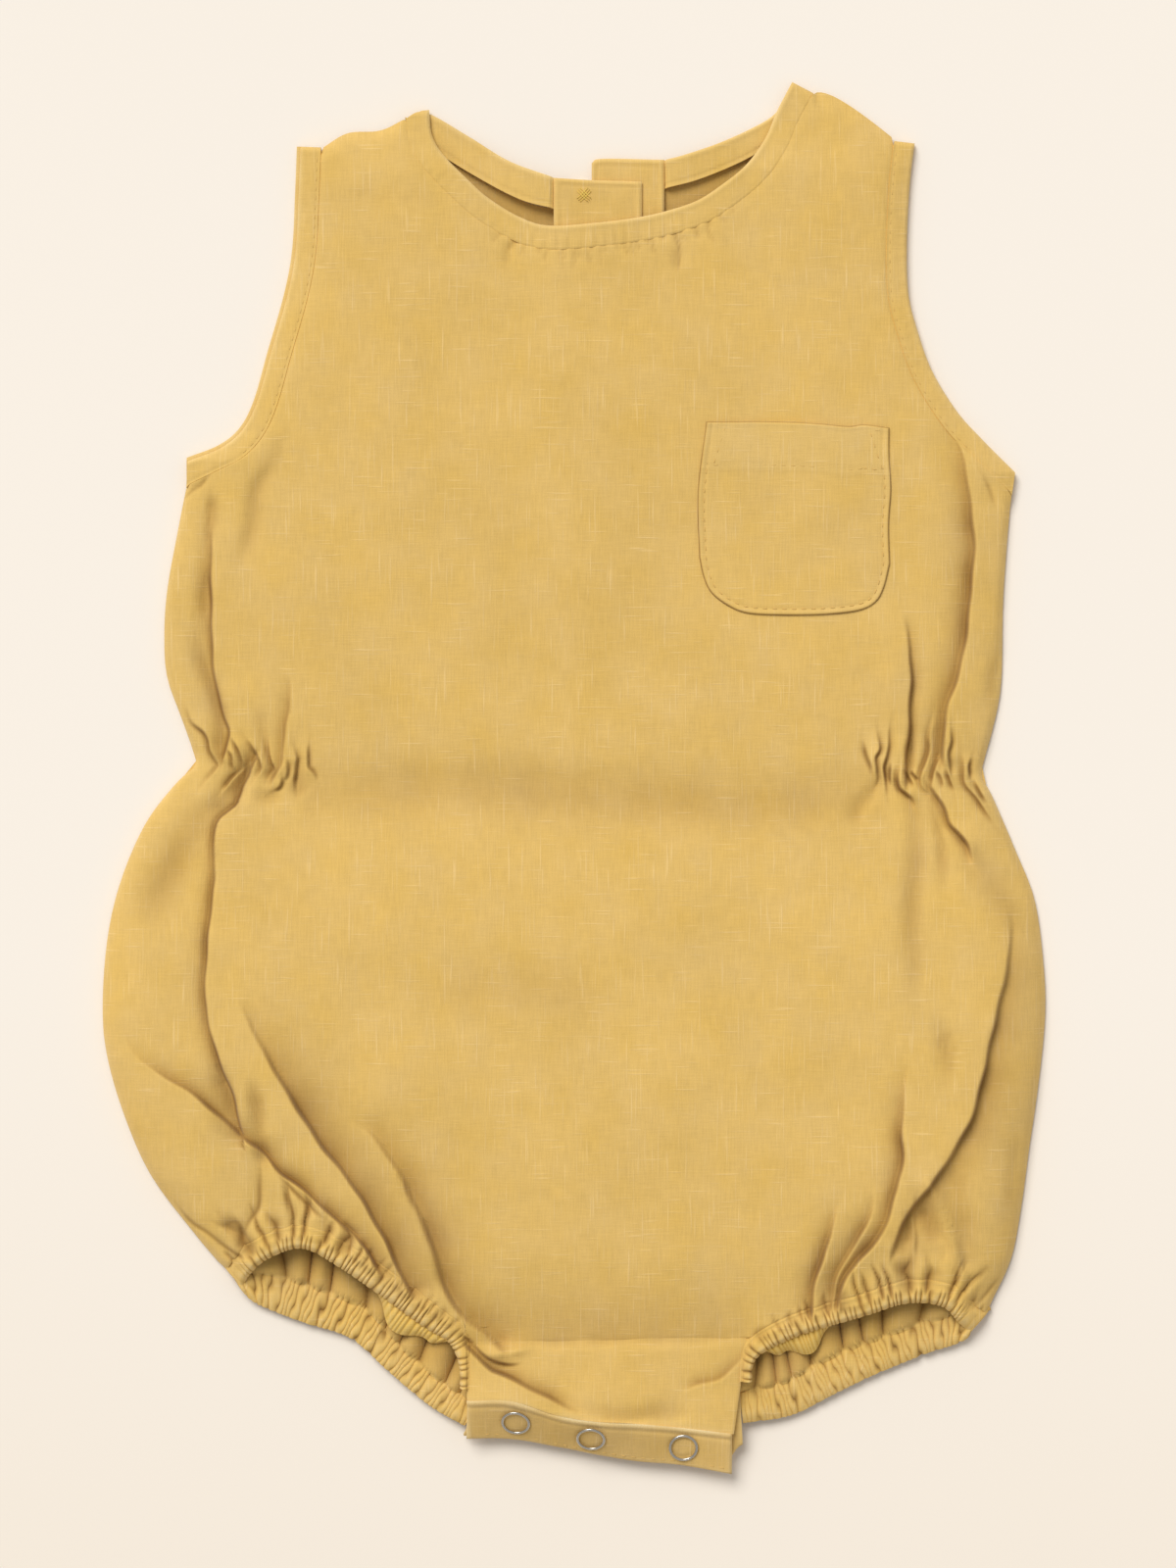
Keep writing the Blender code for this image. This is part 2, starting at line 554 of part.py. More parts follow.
def back_panel(material, home):
    """One flat panel under the front, with the slit of the centre opening in its top edge."""
    legs = (leg_seam(LEG_LEFT, "corner", "back low", 26)[:-1], leg_seam(LEG_RIGHT, "corner", "back inner", 26))
    seam_left = moved_across(smooth(BACK_BAND_LEFT_SEAM, 12), -SEAM_GAP)
    seam_right = moved_across(smooth(BACK_BAND_RIGHT_SEAM, 13), -SEAM_GAP)
    slit_left, slit_right = SLIT_X - SLIT_WIDTH / 2, SLIT_X + SLIT_WIDTH / 2
    neck = np.vstack([
        seam_left[seam_left[:, 0] < -8],
        [(-4.0, BACK_NECK_DIP + 0.6), (4.0, BACK_NECK_DIP), (slit_left, BACK_NECK_DIP)],
        [(slit_left, SLIT_BOTTOM), (slit_right, SLIT_BOTTOM)],
        [(slit_right, BACK_NECK_DIP), (20.0, BACK_NECK_DIP + 2.4)],
        seam_right[1:],
    ])
    armhole_left = armhole_seam(ARMHOLE_LEFT, SIDE_LEFT, 1, SEAM_GAP, 18)
    armhole_right = armhole_seam(ARMHOLE_RIGHT, SIDE_RIGHT, -1, SEAM_GAP, 18)
    outline = np.vstack([
        legs[0][::-1], smooth(points_of(SIDE_LEFT), 38)[::-1][1:-1], armhole_left[::-1][:-1],
        smooth(BACK_SHOULDER_LEFT, 6), neck, smooth(BACK_SHOULDER_RIGHT, 7), armhole_right[1:],
        smooth(points_of(SIDE_RIGHT), 38)[1:-1], legs[1], smooth(BACK_CROTCH_SEAM, 12)[::-1],
    ])
    return outline_plate("back_panel", outline, material, home)


def neck_pieces(material, home):
    edge = smooth(NECKLINE, 60)
    front = strip(moved_across(edge, -NECK_BAND_WIDTH), edge)
    cloth("front_neck_band", on_upper(front), 44, 1, material, home)

    tab_inner_middle = TAB_OUTER_MIDDLE + WALL + LIE_GAP

    def rising(start, end):
        return lambda across, up: start + (end - start) * (3 - 2 * across) * across**2

    left = strip(smooth(BACK_BAND_LEFT_SEAM, 40), smooth(BACK_BAND_LEFT, 40))
    right = strip(smooth(BACK_BAND_RIGHT_SEAM, 40), smooth(BACK_BAND_RIGHT, 40))
    cloth("back_neck_band_left", at_level(left, rising(LOWER_MIDDLE, tab_inner_middle)), 12, 1, material, home)
    cloth("back_neck_band_right", at_level(right, rising(TAB_OUTER_MIDDLE, LOWER_MIDDLE)), 16, 1, material, home)

    for name, top, middle in (("button_tab_outer", TAB_OUTER_TOP, TAB_OUTER_MIDDLE),
                              ("button_tab_inner", TAB_INNER_TOP, tab_inner_middle)):
        low_edge = [(point.x, TABS_BOTTOM) for point in top]
        flat = middle - TAB_OUTER_MIDDLE + 2 * LOWER_MIDDLE + LIE_GAP + WALL / 2

        def level(across, up, top=top, middle=middle, flat=flat):
            y = TABS_BOTTOM + up * (top[0].y - TABS_BOTTOM)
            rise = min(1.0, max(0.0, (y - TABS_FLAT_FROM) / 7.0))
            return flat + (middle - flat) * rise
        piece = strip(smooth(low_edge, 10), smooth(top, 10))
        cloth(name, at_level(piece, level), 4, 12, material, home)


def armhole_bands(material, home):
    for name, rows, side, inward, shows in (("left", ARMHOLE_LEFT, SIDE_LEFT, 1, LOWER_ARMHOLE_SHOWS),
                                            ("right", ARMHOLE_RIGHT, SIDE_RIGHT, -1, 0.0)):
        edge = smooth(rows, 40)
        seam = armhole_seam(rows, side, inward)
        cloth(f"front_armhole_band_{name}", on_upper(strip(seam, edge)), 36, 1, material, home)
        lower = strip(seam, moved_across(edge, -inward * shows))
        cloth(f"back_armhole_band_{name}", at_level(lower, LOWER_MIDDLE), 18, 1, material, home)


def chest_pocket(material, home):
    left = [POCKET_BOTTOM[0], (39.2, 90.0), POCKET_TOP[0]]
    right = [POCKET_BOTTOM[-1], (100.1, 88.0), POCKET_TOP[-1]]
    place = patch(smooth(POCKET_BOTTOM, 40), smooth(POCKET_TOP, 40), smooth(left, 20), smooth(right, 20))
    out = WALL / 2 + LIE_GAP + POCKET_WALL / 2
    cloth("chest_pocket", on_upper(place, out), 10, 9, material, home, wall=POCKET_WALL)


def crotch_pieces(material, home):
    """The front tab, the snap band on its end, and the back tab, which follows them from below."""
    ridge = even(CROTCH_ROWS[:, (0, 1)], 40)
    hem = even(CROTCH_ROWS[:, (0, 3)], 40)
    seam = smooth([(x, y - SEAM_GAP / 2) for x, y in CROTCH_SEAM], 40)
    tab = patch(moved_across(ridge, RIDGE_GAP / 2), seam, smooth(TAB_LEFT[::-1], 20), smooth(TAB_RIGHT[::-1], 20))
    cloth("front_crotch_tab", on_upper(tab), 18, 7, material, home)
    band = strip(hem, moved_across(ridge, -RIDGE_GAP / 2))
    cloth("snap_band", on_upper(band), 18, 3, material, home)

    back_hem = hem + np.column_stack([np.linspace(0, BACK_TAB_SHOWS, 40), np.zeros(40)])
    back_seam = smooth([(x, y - 2 * SEAM_GAP) for x, y in BACK_CROTCH_SEAM[1:-1]], 40)
    under = strip(back_hem, back_seam)

    def spot(across, up):
        x, y = under(across, up)
        low = Vector((x, y, LOWER_MIDDLE))
        high = Vector((x, y, upper_level(x, y))) - TABS_APART * upper_normal(x, y)
        share = min(1.0, (1 - up) / 0.5)
        return low.lerp(high, share**2 * (3 - 2 * share))
    cloth("back_crotch_tab", spot, 14, 9, material, home)


# ---------------------------------------------------------------- metal and button

def stand_on(obj, at, out):
    """Puts a round piece on the upper layer at a plan point, its axis along the cloth's normal."""
    normal = upper_normal(*at)
    obj.location = (Vector((at.x, at.y, upper_level(*at))) + out * normal) * MM
    obj.rotation_mode = "QUATERNION"
    obj.rotation_quaternion = normal.to_track_quat("Z", "Y")


def move_home(obj, name, material, home):
    for collection in list(obj.users_collection):
        collection.objects.unlink(obj)
    home.objects.link(obj)
    obj.name = name
    obj.data.name = name
    obj.data.materials.append(material)
    obj.data.shade_smooth()


def snaps(material, home):
    """Three ring snaps: an open ring on the band, the closed stud between the tabs, a ring behind."""
    skin = WALL / 2 + LIE_GAP
    for number, at in enumerate(SNAPS, 1):
        for name, out in (("front", skin + SNAP_WIRE_RADIUS), ("back", -TABS_APART - skin - SNAP_WIRE_RADIUS)):
            bpy.ops.mesh.primitive_torus_add(
                major_radius=SNAP_RING_RADIUS * MM, minor_radius=SNAP_WIRE_RADIUS * MM,
                major_segments=16, minor_segments=6)
            ring = bpy.context.object
            stand_on(ring, at, out)
            move_home(ring, f"snap_{name}_ring_{number}", material, home)
        bpy.ops.mesh.primitive_cylinder_add(
            radius=SNAP_STUD_RADIUS * MM, depth=SNAP_STUD_THICK * MM, vertices=16)
        stud = bpy.context.object
        stand_on(stud, at, -TABS_APART / 2)
        move_home(stud, f"snap_stud_{number}", material, home)


def neck_button(resin, thread, home):
    """A shank button under the inner tab, and the outer tab's loop round its shank."""
    top = TAB_OUTER_MIDDLE + WALL / 2 + LIE_GAP - 0.3
    profile = (
        (0, top), (BUTTON_SHANK_RADIUS, top), (BUTTON_SHANK_RADIUS, BUTTON_THICK),
        (BUTTON_RADIUS - 0.5, BUTTON_THICK), (BUTTON_RADIUS, BUTTON_THICK - 0.4), (BUTTON_RADIUS, 0.4),
        (BUTTON_RADIUS - 0.5, 0), (0, 0),
    )
    shape = bmesh.new()
    corners = [shape.verts.new((across * MM, 0, up * MM)) for across, up in profile]
    for one, other in zip(corners, corners[1:]):
        shape.edges.new((one, other))
    mesh = bpy.data.meshes.new("neck_button")
    shape.to_mesh(mesh)
    shape.free()
    button = add_piece("neck_button", mesh, resin, home)
    button.location = (BUTTON_AT.x * MM, BUTTON_AT.y * MM, 0)
    turned = button.modifiers.new("turned", "SCREW")
    turned.steps = turned.render_steps = 20
    turned.use_merge_vertices = True
    turned.merge_threshold = 1e-5

    curve = bpy.data.curves.new("neck_button_loop", "CURVE")
    curve.dimensions = "3D"
    curve.bevel_depth = LOOP_RADIUS * MM
    curve.bevel_resolution = 1
    curve.use_fill_caps = True
    bend = BUTTON_SHANK_RADIUS + LOOP_RADIUS + 0.5
    ends_x = TAB_OUTER_TOP[0].x - LIE_GAP
    turns = [math.radians(90 + 180 * step / 6) for step in range(7)]
    path = [(ends_x, BUTTON_AT.y + bend)]
    path += [(BUTTON_AT.x + bend * math.cos(turn), BUTTON_AT.y + bend * math.sin(turn)) for turn in turns]
    path.append((ends_x, BUTTON_AT.y - bend))
    spline = curve.splines.new("POLY")
    spline.points.add(len(path) - 1)
    for point, (x, y) in zip(spline.points, path):
        point.co = (x * MM, y * MM, TAB_OUTER_MIDDLE * MM, 1)
    add_piece("neck_button_loop", curve, thread, home)


def build():
    clear_scene()
    home = collection_named("baby_romper")
    linen = material_named("mustard linen", (0.73, 0.48, 0.144), 0.9)
    steel = material_named("nickel plated steel", (0.62, 0.61, 0.60), 0.28, 1.0)
    resin = material_named("button resin", (0.80, 0.66, 0.42), 0.4)
    back_panel(linen, home)
    front_panel(linen, home)
    neck_pieces(linen, home)
    armhole_bands(linen, home)
    chest_pocket(linen, home)
    leg_casing("leg_casing_left", LEG_LEFT, linen, home)
    leg_casing("leg_casing_right", LEG_RIGHT, linen, home)
    crotch_pieces(linen, home)
    snaps(steel, home)
    neck_button(resin, linen, home)


build()
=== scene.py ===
"""The looks of a baby's sleeveless bubble romper of slubby linen, laid flat with its front up.

Plan sizes are in millimetres with +Y towards the neck, and meshes are in metres. Every cloth piece is a
sheet of columns and rows whose outer face is worked out from the seam lines, then given its thickness.
"""

from __future__ import annotations

import logging
import math
import random
from dataclasses import dataclass, field
from enum import Enum
from typing import Callable, NamedTuple, Sequence

import bmesh
import bpy
import numpy as np
from mathutils import Matrix, Vector

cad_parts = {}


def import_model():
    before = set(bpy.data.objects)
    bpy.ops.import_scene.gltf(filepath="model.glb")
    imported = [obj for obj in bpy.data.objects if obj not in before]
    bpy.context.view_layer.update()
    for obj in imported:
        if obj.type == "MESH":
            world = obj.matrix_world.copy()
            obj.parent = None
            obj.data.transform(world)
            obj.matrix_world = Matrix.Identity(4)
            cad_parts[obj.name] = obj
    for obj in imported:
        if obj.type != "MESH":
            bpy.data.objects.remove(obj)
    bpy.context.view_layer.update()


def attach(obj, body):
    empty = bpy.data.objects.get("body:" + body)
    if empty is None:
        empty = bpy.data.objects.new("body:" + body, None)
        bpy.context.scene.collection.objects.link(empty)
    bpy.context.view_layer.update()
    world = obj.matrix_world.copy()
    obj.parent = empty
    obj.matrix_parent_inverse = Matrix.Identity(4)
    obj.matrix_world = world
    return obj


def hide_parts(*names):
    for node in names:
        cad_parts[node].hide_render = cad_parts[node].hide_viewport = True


LOG = logging.getLogger("romper")
MM = 0.001
Array = np.ndarray
Line = Sequence[tuple[float, float]]
Place = Callable[[Array, Array], Array]
Triple = tuple[float, float, float]
Working = bmesh.types.BMesh
Socket = bpy.types.NodeSocket

WALL_HALF = 0.6  # from the middle of the upper layer to its outer face
UPPER_EDGE = 2.1  # the middle of the upper layer over a side seam
PANEL_HIGH = 380.0  # from the crotch seam to the shoulders
NECK_BAND_WIDTH = 7.4
ARMHOLE_BAND_WIDTH = 6.2
TABS_APART = 2.7  # middle of the front crotch tab to middle of the back one
SLIT_LEFT, SLIT_RIGHT, SLIT_BOTTOM = 13.0, 14.0, 146.0


class Laid(NamedTuple):
    """A sheet's points in space, their thread positions in millimetres, and their wear and painted shade.

    Above 0 the cloth is rubbed pale; below 0 shade is painted into its creases, hollows and openings.
    """

    points: Array
    threads: Array
    wear_and_shade: Array

    @classmethod
    def over(cls, plan: Array, height: Array, wear_and_shade: Array) -> Laid:
        """A sheet over a plan that is also its cut."""
        return cls(np.column_stack([plan, height]), plan, wear_and_shade)


class Station(NamedTuple):
    """One place along a leg casing: its edge, direction in degrees, width, layer and gathers."""

    name: str
    x: float
    y: float
    lean: float
    width: float
    layer: float
    gather: float


class Kind(Enum):
    """The ways a fold bends the cloth."""

    STEP = "one side lies higher than the other"
    CREASE = "a sharp trough"
    SOFT = "a soft trough"
    RIDGE = "a soft ridge"


class Way(Enum):
    """Towards which side a fold rises."""

    EAST = (1, 0)
    WEST = (-1, 0)
    NORTH = (0, 1)
    SOUTH = (0, -1)


STEP, CREASE, SOFT, RIDGE = Kind
EAST, WEST, NORTH, SOUTH = Way


@dataclass(frozen=True)
class Fold:
    """A fold along a line, with its reach on the low and the high side, its depth and its edge's softness.

    start and end are the shares of the depth that the fold has at its two ends.
    """

    name: str
    kind: Kind
    rise: Way
    line: Line
    low: float
    high: float
    depth: float
    edge: float = 0.5
    start: float = 0.0
    end: float = 0.0


SIDE_LEFT: Line = (
    (-122.2, 92.4), (-124.9, 78.7), (-128.3, 60), (-129.3, 46), (-128.5, 32.2), (-124.2, 20), (-120.6, 9.9),
    (-119, 4.3), (-125, -1), (-135.2, -14.3), (-143.2, -32.9), (-147.4, -51.5), (-148.8, -73.2),
    (-147.2, -88.7), (-141.7, -107.3), (-133.3, -125.9), (-119.3, -144.5), (-110.4, -155),
)
SIDE_RIGHT: Line = (
    (138.5, 90), (137, 72.5), (135.8, 53.9), (135.2, 29.1), (132.1, 13.6), (129, 1.6), (132.4, -5.6),
    (140.1, -23.6), (146, -39.1), (148.8, -60.8), (149.1, -76.3), (146.9, -98), (144.2, -116.6),
    (141.7, -135.2), (138.4, -152), (132, -166),
)
ARMHOLE_LEFT: Line = (
    (-86.2, 199.6), (-86.8, 184.1), (-87.7, 167.1), (-90.2, 153.1), (-95.5, 134.5), (-100.1, 118.5),
    (-104.8, 109.7), (-111.6, 104.2), (-121.8, 100.2),
)
ARMHOLE_RIGHT: Line = (
    (107.9, 200.6), (106.3, 187), (105.4, 168.6), (105.9, 153.1), (108.5, 142.3), (113.2, 129),
    (121.2, 115.9), (129.6, 106.6), (139.6, 96.6),
)
NECKLINE: Line = (
    (-45.5, 211.2), (-44.6, 203), (-41, 196.6), (-32.5, 187.9), (-26.4, 182.6), (-17.1, 177), (-7.8, 174.2),
    (8.1, 175.2), (21.4, 177), (30, 179), (38.8, 182), (45.6, 186.2), (54.2, 193.1), (60.5, 201.8),
    (64.4, 210.8), (69.2, 220),
)
SHOULDER_LEFT: Line = ((-78.9, 199.4), (-71.3, 203.9), (-61.1, 204.6), (-53.4, 208.3))
SHOULDER_RIGHT: Line = ((77, 217), (81.2, 216), (87.1, 212.7), (94, 207.8), (100.6, 202.6))
NECK_POINTS = (  # places across, and how far up the neck edge reaches there
    (-55, -50.5, -47, 0, 68, 72, 78), (206.4, 209.8, 211.4, 300, 300, 219.6, 216.2),
)
LOFT = (  # place up the garment, height over the sides
    (220, 0.3), (205, 1.2), (192, 3.4), (120, 3.4), (60, 3.2), (12, 2.6), (0, 2.6), (-20, 5), (-50, 8),
    (-90, 9.6), (-130, 9.4), (-152, 8.4), (-168, 6.6), (-178, 5.6), (-200, 5.6),
)
LEG_LEFT = tuple(Station(*row) for row in (
    ("front tab", -35.6, -192, 0, 2.4, 1, 0.5),
    ("front inner", -36, -184.5, 12, 3, 1, 0.5),
    ("front inner turn", -39.3, -177.6, 38, 6, 1, 2),
    ("front low", -47, -172.8, 54, 7.4, 1, 3),
    ("front middle", -61.7, -162, 53, 7.6, 1, 3.5),
    ("front high", -73.5, -153.8, 58, 7, 1, 6),
    ("front top", -85, -147.9, 82, 6.5, 1, 13),
    ("front outer", -95.5, -151, 116, 6.4, 1, 13),
    ("front corner", -101.5, -156, 132, 6.6, 0.85, 6),
    ("corner", -103.9, -160.6, 136, 7.4, 0.35, 1),
    ("back corner", -101.4, -164.6, 112, 9, 0, 3),
    ("back outer", -95, -167.9, 78, 10.5, 0, 12),
    ("back top", -84, -172, 67, 11, 0, 14),
    ("back high", -70.1, -176.7, 58, 9.4, 0, 14),
    ("back middle", -58, -187.2, 50, 7.6, 0, 12),
    ("back low", -45.3, -197.8, 52, 7.6, 0, 10),
    ("back tab", -34, -204.2, 62, 7.6, 0.2, 3),
))
LEG_RIGHT = tuple(Station(*row) for row in (
    ("front tab", 56.2, -190, 178, 3, 1, 0.5),
    ("front inner", 56.8, -184.2, 160, 3.6, 1, 0.5),
    ("front inner turn", 60.5, -180.6, 128, 5.6, 1, 2),
    ("front low", 70.4, -175.8, 113, 6.2, 1, 3.5),
    ("front middle", 80.9, -172.4, 107, 6.2, 1, 5),
    ("front high", 92, -169.2, 105, 6.2, 1, 9),
    ("front top", 105, -165.3, 96, 6.4, 1, 12),
    ("front outer", 115.8, -166.3, 68, 6.6, 1, 11),
    ("front corner", 121, -171.2, 50, 7, 0.85, 6),
    ("corner", 124.6, -175.4, 46, 8.4, 0.35, 1),
    ("back corner", 121, -178.3, 78, 8.6, 0, 4),
    ("back outer", 112.6, -181, 104, 9, 0, 12),
    ("back high", 102.3, -185.1, 111, 9.4, 0, 14),
    ("back middle", 91.8, -189.6, 114, 10.2, 0, 14),
    ("back low", 80.9, -195, 116, 10.4, 0, 12),
    ("back inner", 68.5, -201, 108, 10, 0, 10),
    ("back tab", 53.5, -203.2, 96, 9.4, 0.25, 3),
))
CROTCH = (  # across, the ridge's place and height, the hem's place and height
    (-33.5, -195.6, 11, -208.4, 4.6), (-19.5, -195.4, 13.4, -208.6, 4.2), (-6, -199.6, 13.6, -210.8, 4.2),
    (6, -201.8, 13.2, -213.2, 4.2), (20, -202.8, 11.4, -215.6, 4.4), (34, -204.2, 9.6, -216.8, 4.8),
    (50, -206.2, 8.8, -219.6, 5),
)
CROTCH_SEAM: Line = (
    (-32.2, -179.6), (-27, -178.2), (-15.5, -177.4), (9, -177), (27.9, -176.2), (52.6, -176.2),
)
TAB_LEFT: Line = ((-33.8, -180.6), (-33.6, -188), (-33.4, -195.6))
TAB_RIGHT: Line = ((54.6, -176.8), (53.4, -183), (52.8, -190), (51.6, -199), (50.6, -206.4))
SNAPS: Line = ((-18, -202.2), (5.6, -207.3), (34.7, -210.4))
POCKET_TOP: Line = ((41.9, 112.3), (64, 112.3), (77, 111.7), (87, 110.8), (91.2, 111.4), (99.6, 110.4))
POCKET_BOTTOM: Line = (
    (39.7, 69.4), (41, 63.4), (43.4, 58.4), (48.4, 54.4), (54.4, 51.9), (64, 51.2), (78, 51.3),
    (89.4, 52.5), (95, 55), (97.8, 59.6), (99.8, 67.5),
)
BACK_BAND_LEFT: Line = ((-47.8, 210.6), (-43.4, 209), (-32.5, 202.4), (-20.1, 194.7), (-5.4, 189.2))
BACK_BAND_LEFT_SEAM: Line = ((-53.2, 204.6), (-47, 200.6), (-32.5, 191.3), (-17.1, 183), (-5.4, 179.8))
BACK_BAND_RIGHT: Line = ((28, 195), (35.6, 197), (47.7, 201.3), (60.5, 207.6), (66, 212.6), (69.6, 219))
BACK_BAND_RIGHT_SEAM: Line = (
    (28, 186.3), (39.7, 189.4), (54.2, 195.6), (65, 202.6), (72, 209), (76.2, 216),
)
BACK_SHOULDER_LEFT: Line = ((-79.2, 198.6), (-71.3, 203), (-61.1, 203.8), (-54.4, 204.9))
BACK_SHOULDER_RIGHT: Line = ((77.4, 215.8), (81.2, 215), (87.1, 211.7), (94, 206.8), (100.2, 201.8))
TAB_INNER_TOP: Line = ((-6.2, 189.4), (5.3, 188.7), (21.7, 188.2))
TAB_OUTER_TOP: Line = ((5.8, 194.2), (9, 195.6), (28.8, 195.3))
BACK_CROTCH_SEAM: Line = (
    (-34.5, -185.5), (-30, -180.4), (-15, -179.2), (27, -178.6), (52, -179.6), (57, -184.5),
)
